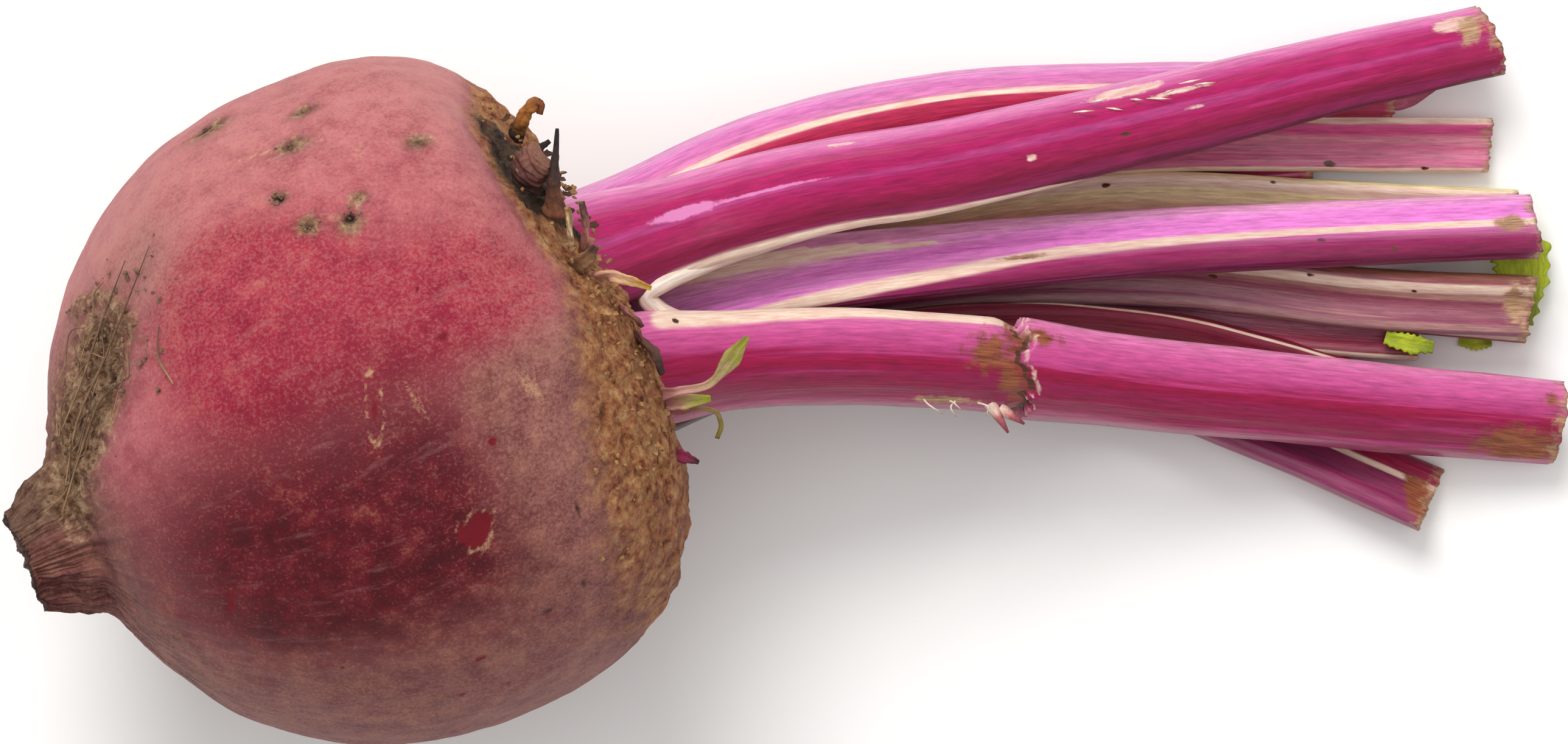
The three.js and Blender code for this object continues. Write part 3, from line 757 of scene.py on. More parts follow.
def make_root():
    skin = Skin()
    zone, mark = skin_zones(skin), skin_marks(skin)
    lift = skin_lift(skin, zone, mark) * skin.on_side
    outward = np.outer(np.sin(skin.turn), LEFT) + np.outer(np.cos(skin.turn), UPPER)
    points = np.array(ROOT_CENTRE) + skin.along[:, None] * np.array(AXIS) + outward * skin.radius[:, None]
    points += (outward * skin.lean[:, 1:] + np.outer(skin.lean[:, 0], AXIS)) * lift[:, None]
    hollow = np.exp(-(skin.radius / (0.8 * TAIL_RADIUS)) ** 2)
    cut_face = (1 - skin.on_side) * (0.9 * fractal(skin.space, 1.6, 3, 31.0) + 1.4 * hollow)
    points += np.outer(cut_face, AXIS)
    for vertex, point in zip(skin.maker.verts, points):
        vertex.co = point
    layer_values(skin.maker, dict(skin_masks(skin, zone, mark), meridian=skin.meridian))
    bmesh.ops.recalc_face_normals(skin.maker, faces=skin.maker.faces)
    return finished("root_skin", skin.maker, root_skin(), ["root"])


make_root()

# ------------------------------------------------------------------ the stalks

# foot: [left, above] of the crown's middle. route: [from the crown along +X, along +Y, above the surface].
# bands: colour across the stalk seen from above, from its -Y edge (-1) to its +Y edge (1), mostly pigment and
# in places painted light, as noted at a stalk.
# lips: cream edges, each [across, half width] at even shares of the way. marks: [kind, from the crown
# along +X, across, half length in millimetres, half width across, strength].
STALKS = [
    # top_stem: its lighter bands at 0.05 and from 0.6 to the +Y edge are partly pigment and partly painted
    # highlight; its two glint marks near the crown are painted reflections.
    dict(name="top_stem", foot=(7, 7), size=[(14, 8), (10, 5.5)], roll=(145, 152), slot="magenta_stalk",
         route=[(17, 11.7, 36), (36, 15.4, 28.5), (60, 21, 20.5), (88, 28, 12.5), (104.3, 31.6, 8.8)],
         bands=[(-1, "#5c1028"), (-0.84, "#96205a"), (-0.66, "#860c3c"), (-0.4, "#940e46"),
                (-0.1, "#a80f58"), (0.05, "#b03c7c"), (0.16, "#ac105a"), (0.45, "#ae145e"),
                (0.6, "#bc3880"), (0.78, "#d670a8"), (1, "#dc88b8")], streaks="#bc2c74",
         lips=[[(-0.92, 0.15), (-0.94, 0.12), (-0.99, 0.06), (-1.3, 0.02), (-1.4, 0.01)]], lips_start=2.8,
         marks=[("torn", 58.5, 0.68, 5, 0.12, 0.75), ("torn", 65, 0.42, 4.5, 0.07, 0.6),
                ("torn", 47, -0.28, 0.7, 0.05, 1), ("speck", 58.5, -0.26, 0.6, 0.05, 1),
                ("torn", 67, 0.0, 1.8, 0.05, 0.6), ("torn", 99.5, 0.55, 3, 0.2, 0.75),
                ("cut", 101.5, 0.3, 1.8, 0.5, 0.6), ("painted_glint", 5.5, 0.14, 4.5, 0.12, 0.75),
                ("painted_glint", 17, 0.13, 10, 0.04, 0.7), ("torn", 24, 0.75, 2, 0.04, 0.6)]),
    dict(name="snapped_stem", foot=(-8, 7), size=[(13.5, 8), (11.5, 5.8)],
         roll=(-145, -152), slot="magenta_stalk",
         route=[(17, -8, 35.5), (38, -8.5, 27.5), (62, -11.2, 19), (88, -13.8, 11.5), (113, -16, 6)],
         bands=[(-1, "#a04868"), (-0.86, "#b45478"), (-0.68, "#940c48"), (-0.4, "#980a46"),
                (-0.25, "#9c1450"), (-0.1, "#96063c"), (0.1, "#a60e4c"), (0.26, "#c04080"),
                (0.5, "#cc5090"), (0.8, "#d468a0"), (1, "#da84ac")], streaks="#cc4c90",
         lips=[[(0.86, 0.22), (0.93, 0.13), (0.96, 0.09), (0.99, 0.07), (1.3, 0.01)]], lips_start=1.8,
         marks=[("bruise", 42, 0.3, 4.5, 0.6, 0.5), ("bruise", 47, 0.65, 5, 0.22, 0.5),
                ("cut", 37, -0.75, 6, 0.1, 0.55), ("bruise", 44.5, -0.2, 2.5, 0.6, 0.5),
                ("bruise", 108, -0.55, 7, 0.5, 0.62), ("bruise", 112, 0.5, 2, 0.5, 0.4),
                ("speck", 4.5, 0.8, 0.35, 0.04, 1)]),
    # middle_stem: its bands from the middle to the +Y edge are made lighter as painted light, to offset the
    # shadow the top stalk casts on it near the fork.
    dict(name="middle_stem", foot=(-0.5, 0), size=[(11, 6.5), (9.6, 6.5)],
         roll=(-30, -45), slot="purple_stalk",
         route=[(18, 1.7, 29), (38, 4.1, 22.5), (64, 6.3, 15.5), (90, 7.6, 11), (110, 8.4, 7.5)],
         bands=[(-1, "#864258"), (-0.85, "#7c1e48"), (-0.6, "#86194a"), (-0.35, "#94205a"),
                (-0.15, "#b4507e"), (0.0, "#e680c4"), (0.25, "#f08ad8"), (0.45, "#e87ed0"),
                (0.65, "#f090d8"), (0.85, "#eea4d0"), (1, "#e094bc")],
         streaks="#c04ca0", drift=[0.85, 0.6, 0.15, 0.0, -0.05, -0.1],
         lips=[[(-0.9, 0.1), (-0.6, 0.2), (-0.05, 0.17), (0.12, 0.12), (0.18, 0.1)],
               [(0.5, 0.2), (0.55, 0.25), (0.74, 0.2), (0.92, 0.08), (0.95, 0.05)]],
         marks=[("cut", 46, -0.1, 4, 0.1, 0.55), ("cut", 107, 0.15, 2.5, 0.3, 0.6),
                ("speck", 92, -0.5, 0.4, 0.05, 1), ("speck", 83, -0.15, 0.6, 0.05, 0.8)]),
    dict(name="arched_stem", foot=(9.5, -1.5), size=[(9, 6), (7.5, 5)], roll=(150, 150), slot="magenta_stalk",
         route=[(14, 17.7, 29), (36, 23.2, 20.5), (60, 25, 12.5), (92, 25.6, 5)],
         bands=[(-1, "#8a1838"), (-0.6, "#ac2448"), (-0.2, "#b82850"), (0.1, "#bc3058"), (0.25, "#dc84b4"),
                (0.5, "#d470b0"), (0.8, "#dc88c0"), (1, "#cc6ca0")], streaks="#c84a90",
         lips=[[(0.06, 0.12), (0.06, 0.12), (0.1, 0.1), (0.16, 0.09), (0.16, 0.08)]], marks=[]),
    dict(name="striped_stem", foot=(-5.5, -8.5), size=[(7.5, 5.5), (8, 5)], roll=(0, 20), slot="pink_stalk",
         route=[(17, -1.5, 21), (40, 2, 13.5), (65, 2.3, 9.5), (90, -0.4, 9), (109.5, -1.3, 7.8)],
         bands=[(-1, "#904a64"), (-0.8, "#b48484"), (-0.6, "#8c3c58"), (-0.3, "#a05c6c"), (0, "#8a3a50"),
                (0.2, "#b08074"), (0.4, "#c4a080"), (0.6, "#8a3c4c"), (0.8, "#845040"), (1, "#6c3c30")],
         streaks="#cca48e", lips=[[(0.35, 0.12), (0.35, 0.12), (0.38, 0.16), (0.4, 0.16), (0.42, 0.18)]],
         marks=[("speck", 82, 0.5, 0.4, 0.06, 1), ("speck", 95, 0.3, 0.3, 0.05, 1),
                ("speck", 70, 0.1, 0.4, 0.06, 1), ("cut", 107.5, 0.1, 1.6, 0.8, 0.6)]),
    # shaded_stem: its dark bands are painted shade, for a stalk lying in the shadow between its neighbours.
    dict(name="shaded_stem", foot=(-12, -1.5), size=[(8, 5.5), (7.5, 5)],
         roll=(-20, -20), slot="magenta_stalk",
         route=[(16, -8.5, 27), (40, -5, 18.5), (63, -5.8, 11), (78, -9, 7), (91, -12.8, 5)],
         bands=[(-1, "#4a0c16"), (-0.4, "#5c0e20"), (0.1, "#64101f"), (0.5, "#7a1c34"), (0.8, "#8c2840"),
                (1, "#74202c")], streaks="#7c2434",
         lips=[[(1.4, 0.02), (1.2, 0.02), (1.0, 0.03), (0.85, 0.04), (0.8, 0.06)]], marks=[]),
    dict(name="pink_stem", foot=(7.5, -9), size=[(7.5, 5.5), (6.8, 4.6)], roll=(0, 10), slot="pink_stalk",
         route=[(15, 9.5, 21.5), (38, 16, 12), (64, 18.8, 5), (90, 18.8, 2.9), (105, 18.8, 2.6)],
         bands=[(-1, "#d89c8c"), (-0.75, "#c85c84"), (-0.4, "#d07492"), (-0.1, "#c4507a"),
                (0.15, "#d88a98"), (0.4, "#cc5084"), (0.65, "#cc3c7c"), (0.85, "#e8a8a8"), (1, "#ecc0a8")],
         streaks="#e0a8b0",
         lips=[[(0.9, 0.1), (0.9, 0.1), (0.88, 0.14), (0.86, 0.16), (0.86, 0.16)],
               [(-0.95, 0.05), (-0.95, 0.05), (-0.95, 0.08), (-0.93, 0.1), (-0.93, 0.1)]],
         marks=[("speck", 85, -0.72, 0.7, 0.1, 1), ("speck", 97, -0.85, 0.4, 0.06, 1),
                ("torn", 76, 0.95, 3, 0.1, 0.7)]),
    dict(name="cream_stem", foot=(1, -9), size=[(6.5, 5.5), (6, 4.4)], roll=(0, 0), slot="cream_stalk",
         route=[(16, 3.5, 20), (38, 9.3, 11), (60, 12.2, 5.5), (84, 11.4, 3), (108, 10.2, 2.4)],
         bands=[(-1, "#d8a498"), (-0.5, "#dcb098"), (-0.1, "#e4c298"), (0.3, "#f0dca6"), (0.8, "#f4e4b0"),
                (1, "#e8d89c")], streaks="#f8ecbc",
         lips=[[(0.6, 0.3), (0.6, 0.3), (0.6, 0.3), (0.6, 0.3), (0.6, 0.3)]],
         marks=[("speck", 57, 0.5, 0.5, 0.08, 1), ("speck", 78, 0.75, 0.4, 0.06, 1)]),
    dict(name="slanting_stem", foot=(-10, -10), size=[(7.5, 5.5), (10, 6)],
         roll=(-30, -40), slot="magenta_stalk",
         route=[(17, -9, 18.5), (40, -8.5, 9.5), (60, -10.8, 4.8), (80, -18, 3.8), (97.5, -25.5, 3.8)],
         bands=[(-1, "#a87078"), (-0.85, "#943a64"), (-0.5, "#8c2c58"), (-0.1, "#92345e"), (0.2, "#8c3058"),
                (0.4, "#8a1038"), (0.7, "#980e3c"), (1, "#7c0c2c")], streaks="#a85080",
         lips=[[(0.34, 0.05), (0.34, 0.05), (0.34, 0.07), (0.34, 0.09), (0.34, 0.1)]],
         marks=[("bruise", 96, -0.1, 2.2, 0.8, 0.7)]),
    dict(name="crimson_stem", foot=(-4, -14.5), size=[(6, 5), (6.5, 4)], roll=(0, 0), slot="magenta_stalk",
         route=[(15, -2.5, 13), (36, -2, 6.5), (62, -2, 5.2), (84, -4.2, 5.2), (96, -4.9, 5.1)],
         bands=[(-1, "#7e3240"), (-0.4, "#983a50"), (0, "#a0385a"), (0.5, "#a83e66"), (1, "#9c3858")],
         streaks="#b0546c", lips=[[(-0.9, 0.08), (-0.9, 0.1)]], marks=[]),
    dict(name="slim_stem", foot=(1.5, -15.5), size=[(5.5, 4.5), (5.5, 2.8)], roll=(0, 0), slot="pink_stalk",
         route=[(14, 2.5, 11.5), (34, 3, 4), (60, 2.5, 1.8), (86, -1, 1.5), (110, -3.2, 1.5)],
         bands=[(-1, "#904658"), (-0.3, "#a0566c"), (0.2, "#a86070"), (1, "#985060")],
         streaks="#b87c84", lips=[[(-0.8, 0.12), (-0.8, 0.14)]], marks=[]),
    dict(name="short_stem", foot=(7, -15), size=[(5.5, 4.5), (5, 3.6)], roll=(0, 0), slot="magenta_stalk",
         route=[(13, 8, 12), (33, 11.5, 4.5), (58, 15, 2), (83, 17, 2)],
         bands=[(-1, "#98304c"), (-0.2, "#a4285a"), (0.4, "#a83c62"), (1, "#b04c6c")],
         streaks="#c0607e", lips=[[(0.9, 0.06), (0.9, 0.08)]], marks=[]),
]
STEM_START = 8.0                # how far inside the crown a stalk begins
FOOT_SWELL = 0.2                # how much wider a stalk is at its foot, as a share
SNAP = 0.425                    # share of the way to where the stalk is snapped
ALL_THE_WAY = -40.0             # where the lips start when they reach the foot
# Kinds of stalk marks: one is a painted reflection of the lamp (the glint), the others are cuts, bruises,
# tears and specks.
MARK_KINDS = ("cut", "bruise", "torn", "painted_glint", "speck")

# What the snap shows: mask, strength, and its place and width as shares of the way past the tear.
SNAP_HURTS = [("torn", 0.56, 0.002, 0.0034), ("bruise", 0.55, -0.012, 0.016), ("speck", 0.9, -0.005, 0.004)]


def near_crown(points):
    """Points given from the crown along +X, along +Y, and above the surface."""
    return [Vector((STALKS_FROM.x + x, STALKS_FROM.y + y, z)) for x, y, z in points]


def stalk_route(stalk):
    left, above = stalk["foot"]
    return [STALKS_FROM - AXIS * STEM_START + LEFT * left + UPPER * above] + near_crown(stalk["route"])


def stalk_relief(seed):
    """Lengthwise ribs on the back and slow unevenness, as shares of the size."""
    lumps = uneven(0.03, 1.2, 9, 2, seed)

    def relief(spot, share):
        back = smooth(spot[:, 1], 0.3, -0.1)
        around = np.arctan2(spot[:, 1] - 0.25, spot[:, 0])
        ribs = np.cos(around * 9 + seed) * 0.022 + np.cos(around * 17 + 2 * seed) * 0.010
        return back * ribs + lumps(spot, share)
    return relief


def snap_step(spot, share):
    """The broken stalk: sunk and crushed before the tear, standing proud after it."""
    around = np.arctan2(spot[:, 1] - 0.25, spot[:, 0])
    jag = fractal(np.column_stack([np.cos(around) * 2.2, np.sin(around) * 2.2, 0 * around]), 1.0, 4, 61.0)
    tear = SNAP + 0.012 * spot[:, 0] + 0.020 * jag
    ahead = share - tear
    proud = 0.07 * smooth(ahead, 0.0, 0.002) * smooth(ahead, 0.09, 0.0)
    sunk = 0.16 * smooth(ahead, 0.001, -0.001) * smooth(ahead, -0.035, -0.002)
    return ahead, proud - sunk


def cut_end(seed, raggedness, slant):
    """Moves the last stretch lengthwise: a slanting cut with a ragged face, millimetres."""
    def end(place, share):
        reach = smooth(share, 0.93, 1.0)
        face = fractal(np.column_stack([place * 3, share]), 1.0, 3, seed)
        return reach * (slant * place[:, 0] + raggedness * face)
    return end


def seen_across(points, known):
    """Where each vertex lies across its stalk seen from above, -1 to 1, and whether on the upper side."""
    sideways = np.cross((0, 0, 1), known["way"])
    sideways /= np.linalg.norm(sideways, axis=1, keepdims=True)
    offset = points - known["middle"]
    lateral = np.einsum("ij,ij->i", offset, sideways)
    reach = np.zeros(known["ring"].max() + 1)
    np.maximum.at(reach, known["ring"], np.abs(lateral))
    return lateral / np.maximum(reach[known["ring"]], 0.5), offset[:, 2] > -0.3


def stalk_marks(stalk, known, forward, across, upper):
    """The painted reflections, hurt and cut places of a stalk, 0 to 1."""
    value = {kind: np.zeros(len(forward)) for kind in MARK_KINDS}
    for kind, at, beside, length, width, strength in stalk["marks"]:
        spot = np.exp(-((forward - at) / length) ** 2 - ((across - beside) / width) ** 2)
        value[kind] = np.maximum(value[kind], np.minimum(1.4 * strength * spot, 1) * upper)
    dried_end = smooth(known["share"], 0.97, 1.0) * 0.5
    cut_face = np.where((known["inset"] < 0.97) & (known["share"] > 0.5), 0.9, 0.0)
    value["cut"] = np.maximum(value["cut"], np.maximum(dried_end, cut_face))
    return value


def stalk_lips(stalk, share, forward, across, upper):
    """The cream edges of a stalk, 0 to 1."""
    lip = np.zeros(len(share))
    for course in stalk["lips"]:
        spots = through(course, share)
        lip = np.maximum(lip, np.exp(-((across - spots[:, 0]) / spots[:, 1]) ** 2) * upper)
    start = stalk.get("lips_start", ALL_THE_WAY)
    return lip * smooth(forward, start - 1.5, start + 1.5)


def make_stalk(stalk, seed):
    snapped = stalk["name"] == "snapped_stem"
    ribs = stalk_relief(seed)

    def relief(spot, share):
        step = snap_step(spot, share)[1] if snapped else 0
        return ribs(spot, share) + FOOT_SWELL * smooth(share, 0.14, 0.02) + step

    maker, known = sweep(channel_section(80), stalk_route(stalk), stalk["size"], 380 if snapped else 210, 8,
                         stalk["roll"], relief=relief, end=cut_end(seed, 0.5, 0.3))
    share = known["share"]
    points = np.array([tuple(v.co) for v in maker.verts])
    across, upper = seen_across(points, known)
    forward = points[:, 0] - STALKS_FROM.x
    value = stalk_marks(stalk, known, forward, across, upper)
    lip = stalk_lips(stalk, share, forward, across, upper)
    if snapped:
        ahead, _ = snap_step(known["spot"], share)
        lip *= smooth(ahead, 0.004, -0.004)
        for kind, strength, at, width in SNAP_HURTS:
            value[kind] = np.maximum(value[kind], strength * np.exp(-((ahead - at) / width) ** 2))
    drift = stalk.get("drift", [0, 0])
    across = across + np.interp(share, np.linspace(0, 1, len(drift)), drift)
    layer_values(maker, dict(value, lip=lip, across=across, fibre=known["fibre"]))
    close_seams(maker)
    material = stalk_skin(stalk["name"].replace("_", " ") + " cuticle", stalk["bands"], stalk["streaks"])
    return finished(stalk["name"] + "_skin", maker, material, [stalk["name"]])


for number, stalk in enumerate(STALKS):
    make_stalk(stalk, 1.0 + number)

# ------------------------------------------------------------------ where the two front stalks part


def stalk_edge(name, forwards, side, inset, rise):
    """Points along one edge of a stalk, at distances from the crown along +X."""
    stalk = next(s for s in STALKS if s["name"] == name)
    spots, ways, _ = smooth_curve(stalk_route(stalk), 120)
    half = through(stalk["size"], np.linspace(0, 1, 120))[:, 0] / 2 - inset
    edges = spots + np.cross((0, 0, 1), ways) * (side * half)[:, None]
    reach = spots[:, 0] - STALKS_FROM.x
    return [Vector([float(np.interp(f, reach, edges[:, k])) for k in range(3)]) + Vector((0, 0, rise))
            for f in forwards]


def make_strip(name, route, sizes, bands, streaks):
    maker, known = sweep(round_section(28), route, sizes, 70, caps=4, relief=uneven(0.06, 1, 8, 2, 4.0))
    unhurt = {kind: np.zeros(len(known["share"])) for kind in MARK_KINDS + ("lip",)}
    layer_values(maker, dict(unhurt, across=known["spot"][:, 0], fibre=known["fibre"]))
    close_seams(maker)
    return finished(name, maker, stalk_skin(name.replace("_", " ") + " cuticle", bands, streaks))


LIP_BANDS = [(-1, "#d8b0a4"), (-0.4, "#ead2c2"), (0.3, "#f0dccc"), (1, "#e4c4b4")]
SHEATH_BANDS = [(-1, "#9c3060"), (-0.3, "#b8507c"), (0.3, "#cc7c98"), (0.8, "#e0a8ac"), (1, "#e4b8ac")]


def make_fork():
    """The cream lip round the fork of the two front stalks, and the sheath that they grow from."""
    upper = stalk_edge("top_stem", [20, 16, 12, 8.5], -1, 1.0, 1.4)
    lower = stalk_edge("snapped_stem", [7, 10.5, 15, 21], 1, 1.1, 2.0)
    turn = near_crown([(3.0, 0.95, 44.2), (1.0, -0.4, 44.2), (2.4, -2.2, 43.2)])
    make_strip("fork_lip", upper + turn + lower,
               [(1.6, 1.2), (1.8, 1.5), (2.0, 1.8), (2.4, 2.0), (2.2, 1.8), (2.0, 1.6), (1.6, 1.2)],
               LIP_BANDS, "#f6e8dc")
    sheath = near_crown([(-3.0, 8.5, 38.4), (-1.6, 4.2, 37.6), (-0.7, 0.2, 37.2), (0.2, -4.2, 37.0)])
    make_strip("fork_sheath", sheath, [(4.0, 2.0), (4.4, 2.4), (4.2, 2.4), (3.6, 2.0)],
               SHEATH_BANDS, "#d890b0")


make_fork()

# ------------------------------------------------------------------ dried leaf bases and the sprout

# edge: [from the crown back along the axis, degrees round it from the top] of the foot. route: steps
# from the foot, [forward, left, up]. size: [width, thickness] at even shares. face: the hollow side's way.
CROWN_PIECES = [
    dict(name="curled_leaf_base", edge=(5.2, 48), face=(1, 0, 0), slot="dried_scale",
         route=[(0, 0, -1), (1.2, 1.2, 1.6), (2.4, 2, 3), (3.6, 1.8, 3.5), (3, 0.8, 3.2)],
         size=[(2.8, 1.8), (2, 1.5), (1.7, 1.3), (1.6, 1.2), (1, 0.8)],
         look=("#2c1a12", "#ac6c2c", "#6a3414")),
    dict(name="little_hook", edge=(4.5, 38), face=(1, 0, 0), slot="dark_scale",
         route=[(0, 0, -0.8), (0.6, 1.6, 0.9), (2, 2, 1.2)],
         size=[(1.4, 1.1), (1.2, 0.9), (0.7, 0.6)], look=("#24140e", "#2e1a14", "#180c0a")),
    dict(name="dried_spike", edge=(5.6, 24), face=(1, 0, 0), slot="dark_scale",
         route=[(0, -0.6, -1), (0.8, 2.4, 1.6), (2.2, 5.2, 2.6), (3.5, 7.8, 3)],
         size=[(3.8, 2.6), (2.8, 1.9), (1.5, 1), (0.5, 0.4)], look=("#7c4c34", "#3c2620", "#160c0c")),
    dict(name="leaf_stub", edge=(6.8, 32), face=(0.7, 0, -0.7), slot="dried_scale",
         route=[(-0.5, -0.4, -1), (0.9, 0.6, 1.2), (2, 1.2, 2.6)],
         size=[(4.8, 3.4), (4.6, 3.2), (3.6, 2.4)], look=("#2c1810", "#5c302a", "#805444")),
    dict(name="pink_scale", edge=(5.1, 15), face=(1, 0, 0.4), slot="dried_scale",
         route=[(0.2, -1.6, -0.8), (1.4, 0.4, 1.6), (2, 3.6, 2.8)],
         size=[(3, 1), (2.8, 0.9), (1.2, 0.7)], look=("#7c4a38", "#a86a60", "#4e3024")),
    dict(name="papery_scale", edge=(5.8, 18), face=(1, 0, 0.4), slot="dried_scale",
         route=[(0, -2, -0.6), (0.6, 0, 1.3), (1, 2, 1.9)],
         size=[(2.4, 0.9), (3, 0.9), (1.4, 0.7)], look=("#8a6444", "#dcc298", "#a07a48")),
    dict(name="brown_scale", edge=(5.7, 10), face=(0.4, 0, 1), slot="dried_scale",
         route=[(-1, -0.4, -0.5), (0.6, 0, 0.9), (2, 0.8, 1.4)],
         size=[(2.6, 0.9), (2, 0.9), (0.8, 0.6)], look=("#5c3a24", "#8a6040", "#4a2c1c")),
    dict(name="yellow_tipped_scale", edge=(4.6, 6), face=(0, -0.6, 1), slot="dried_scale",
         route=[(0, 0, -0.8), (1.2, -0.6, 2), (3, -2.2, 2.9), (4.8, -3.8, 2.9)],
         size=[(2.2, 0.9), (1.7, 0.9), (1.3, 0.8), (0.5, 0.5)], look=("#c08474", "#d8a884", "#b0842c")),
    dict(name="thin_scale", edge=(3.3, -6), face=(1, 0, 0.4), slot="dried_scale",
         route=[(0, 1.4, -0.6), (0.9, 0, 1.4), (1.3, -1.6, 2)],
         size=[(1.4, 0.8), (1.7, 0.8), (0.8, 0.6)], look=("#8a4a44", "#a46a5a", "#54281c")),
    dict(name="dark_scale", edge=(2.4, -18), face=(1, 0, 0.5), slot="dark_scale",
         route=[(0, 3, -0.5), (0.9, 0, 1.5), (0.9, -3, 1.3)],
         size=[(2, 1), (3, 1), (1.2, 0.8)], look=("#5c2c2c", "#6a4034", "#2c1814")),
    dict(name="rim_thorn", edge=(2.9, -52), face=(0, 0, 1), slot="magenta_stalk",
         route=[(-0.4, 0.6, -0.4), (1, -0.6, 0.7), (2, -1.6, 1.2)],
         size=[(2, 1.6), (1.4, 1.1), (0.5, 0.4)], look=("#6a2438", "#8a1c48", "#3c1018")),
    dict(name="sprout_leaf", edge=(2.1, -33), face=(0, 0, 1), slot="sprout_green",
         route=[(0, 0, -0.8), (1.8, -0.5, 2.6), (5, -1.2, 4.2), (8, 0.2, 5.4), (11.2, 2, 6)],
         size=[(1.7, 1.4), (1.1, 1), (1, 0.9), (1, 0.8), (2.3, 0.7), (0.5, 0.4)],
         look=("#d08c90", "#b0906c", "#8a8420")),
    dict(name="sprout_small_leaf", edge=(2.2, -36), face=(0, 0, 1), slot="sprout_green",
         route=[(0.4, -0.2, -0.6), (2.4, -0.8, 1.8), (5, -1.6, 2.4)],
         size=[(1.3, 1), (1.9, 0.8), (0.7, 0.4)], look=("#c88488", "#c0a070", "#a4ac20")),
    dict(name="sprout_thread", edge=(2.3, -39), face=(0, 0, 1), slot="pink_stalk",
         route=[(0.2, -0.2, -0.6), (3, -0.8, 1), (5.2, -2, 1), (5.4, -3.6, 0.2), (4.4, -5, -0.6)],
         size=[(0.9, 0.8), (0.7, 0.6), (0.6, 0.5), (0.5, 0.4)], look=("#a86070", "#9c8450", "#7c6c2c")),
]


def make_crown_piece(piece, seed):
    back, degrees = piece["edge"]
    foot = skin_point(BODY_FRONT - back, degrees)
    green = piece["slot"] == "sprout_green"
    material = dried_leaf(piece["name"].replace("_", " "), *piece["look"], 0.45 if green else 0.72)
    route = [foot + rootwise(*step) for step in piece["route"]]
    make_grown(piece["name"] + "_skin", channel_section(32), route, piece["size"], 44, material,
               piece["slot"], [piece["name"]], facing=rootwise(*piece["face"]),
               relief=withered(seed, 0.12 if green else 0.35))


for number, piece in enumerate(CROWN_PIECES):
    make_crown_piece(piece, 30.0 + number)

# ------------------------------------------------------------------ leaf scraps, the shred and hair roots

LEAF_LOOK = "#98a80c", "#b4c018", "#7c8c0c"
SHRED_LOOK = "#b03c68", "#c86c88", "#b44c74"

# route: [from the crown along +X, along +Y, above the surface].
SCRAPS = [
    dict(name="leaf_scrap", slot="leaf_green", size=[(4, 0.8), (7, 0.8), (6, 0.8), (3.5, 0.8)],
         route=[(107.5, 9, 3.9), (109, 4.5, 3.8), (109, 0, 4), (108.5, -3.5, 4)]),
    dict(name="leaf_scrap_small", slot="leaf_green", size=[(1.6, 0.7), (2.6, 0.7), (1.4, 0.7)],
         route=[(91.5, -5.2, 8.1), (94, -5.9, 8.3), (97.5, -6.5, 8)]),
    dict(name="leaf_scrap_tiny", slot="leaf_green", size=[(1.4, 0.8), (2.4, 0.8), (1.4, 0.8)],
         route=[(101.5, -5.4, 0.7), (103.5, -5.7, 1), (105.5, -5.5, 0.8)]),
    dict(name="stem_shred", slot="pink_stalk", size=[(1.6, 1), (1.8, 1), (1.6, 0.9), (1, 0.7)],
         route=[(87, 25, 0.9), (91, 24, 0.9), (95, 24.3, 1), (99.5, 27, 1.3)]),
]


def scalloped(seed):
    """The wavy edge of a leaf blade."""
    lumps = uneven(0.22, 0.5, 5, 3, seed)

    def relief(spot, share):
        return np.abs(spot[:, 0]) ** 3 * (0.10 * np.sin(share * 46 + seed) + lumps(spot, share))
    return relief


def make_scrap(scrap, seed):
    leaf = scrap["slot"] == "leaf_green"
    material = dried_leaf(scrap["name"].replace("_", " "), *(LEAF_LOOK if leaf else SHRED_LOOK), 0.4)
    make_grown(scrap["name"] + "_skin", channel_section(40), near_crown(scrap["route"]), scrap["size"], 60,
               material, scrap["slot"], [scrap["name"]],
               relief=scalloped(seed) if leaf else withered(seed, 0.15))


for number, scrap in enumerate(SCRAPS):
    make_scrap(scrap, 50.0 + number)

# Points along the axis from the widest ring, degrees from the top towards the left, above the skin.
HAIR_ROOTS = [
    ("hair_root_1", [(-19, 50, 0.4), (-24, 45, 0.6), (-29, 42, 0.6), (-34, 42, 0.6), (-38.5, 36, 0.6)]),
    ("hair_root_2", [(-22, 54, 0.4), (-27, 50, 0.7), (-32, 48, 0.5), (-36, 52, 0.6)]),
    ("hair_root_3", [(-27, 30, 0.4), (-31, 34, 0.7), (-35, 31, 0.6), (-40, 20, 0.5)]),
    ("hair_root_4", [(-22, 33, 0.4), (-23.6, 27, 1), (-23.4, 20, 0.5)]),
]

HAIR_THICKNESS, FINE_HAIR_THICKNESS = 0.32, 0.18
HAIR_SKIN = dried_leaf("dry hair root", "#5c402c", "#7c5c42", "#a8845e")


def make_hair(name, route, thickness, replaces=()):
    sizes = [(0.3 * thickness, 0.3 * thickness), (thickness, thickness), (0.5 * thickness, 0.5 * thickness)]
    make_grown(name, round_section(8), route, sizes, 26, HAIR_SKIN, "hair_root", replaces, caps=2)


for name, route in HAIR_ROOTS:
    make_hair(name + "_skin", [skin_point(*spot) for spot in route], HAIR_THICKNESS, [name])

rng = random.Random(7)


def make_fine_hairs():
    for number in range(14):
        along, degrees = rng.uniform(-35, -24), rng.uniform(32, 60)
        turn = rng.uniform(-1, 1)
        route = [skin_point(along + step * rng.uniform(-2.2, -1.0),
                            degrees + step * 4 * turn + rng.uniform(-3, 3),
                            0.35 + 0.3 * rng.random()) for step in range(4)]
        make_hair("fine_hair_%d" % (number + 1), route, FINE_HAIR_THICKNESS)


make_fine_hairs()

# ------------------------------------------------------------------ crumbs and flakes


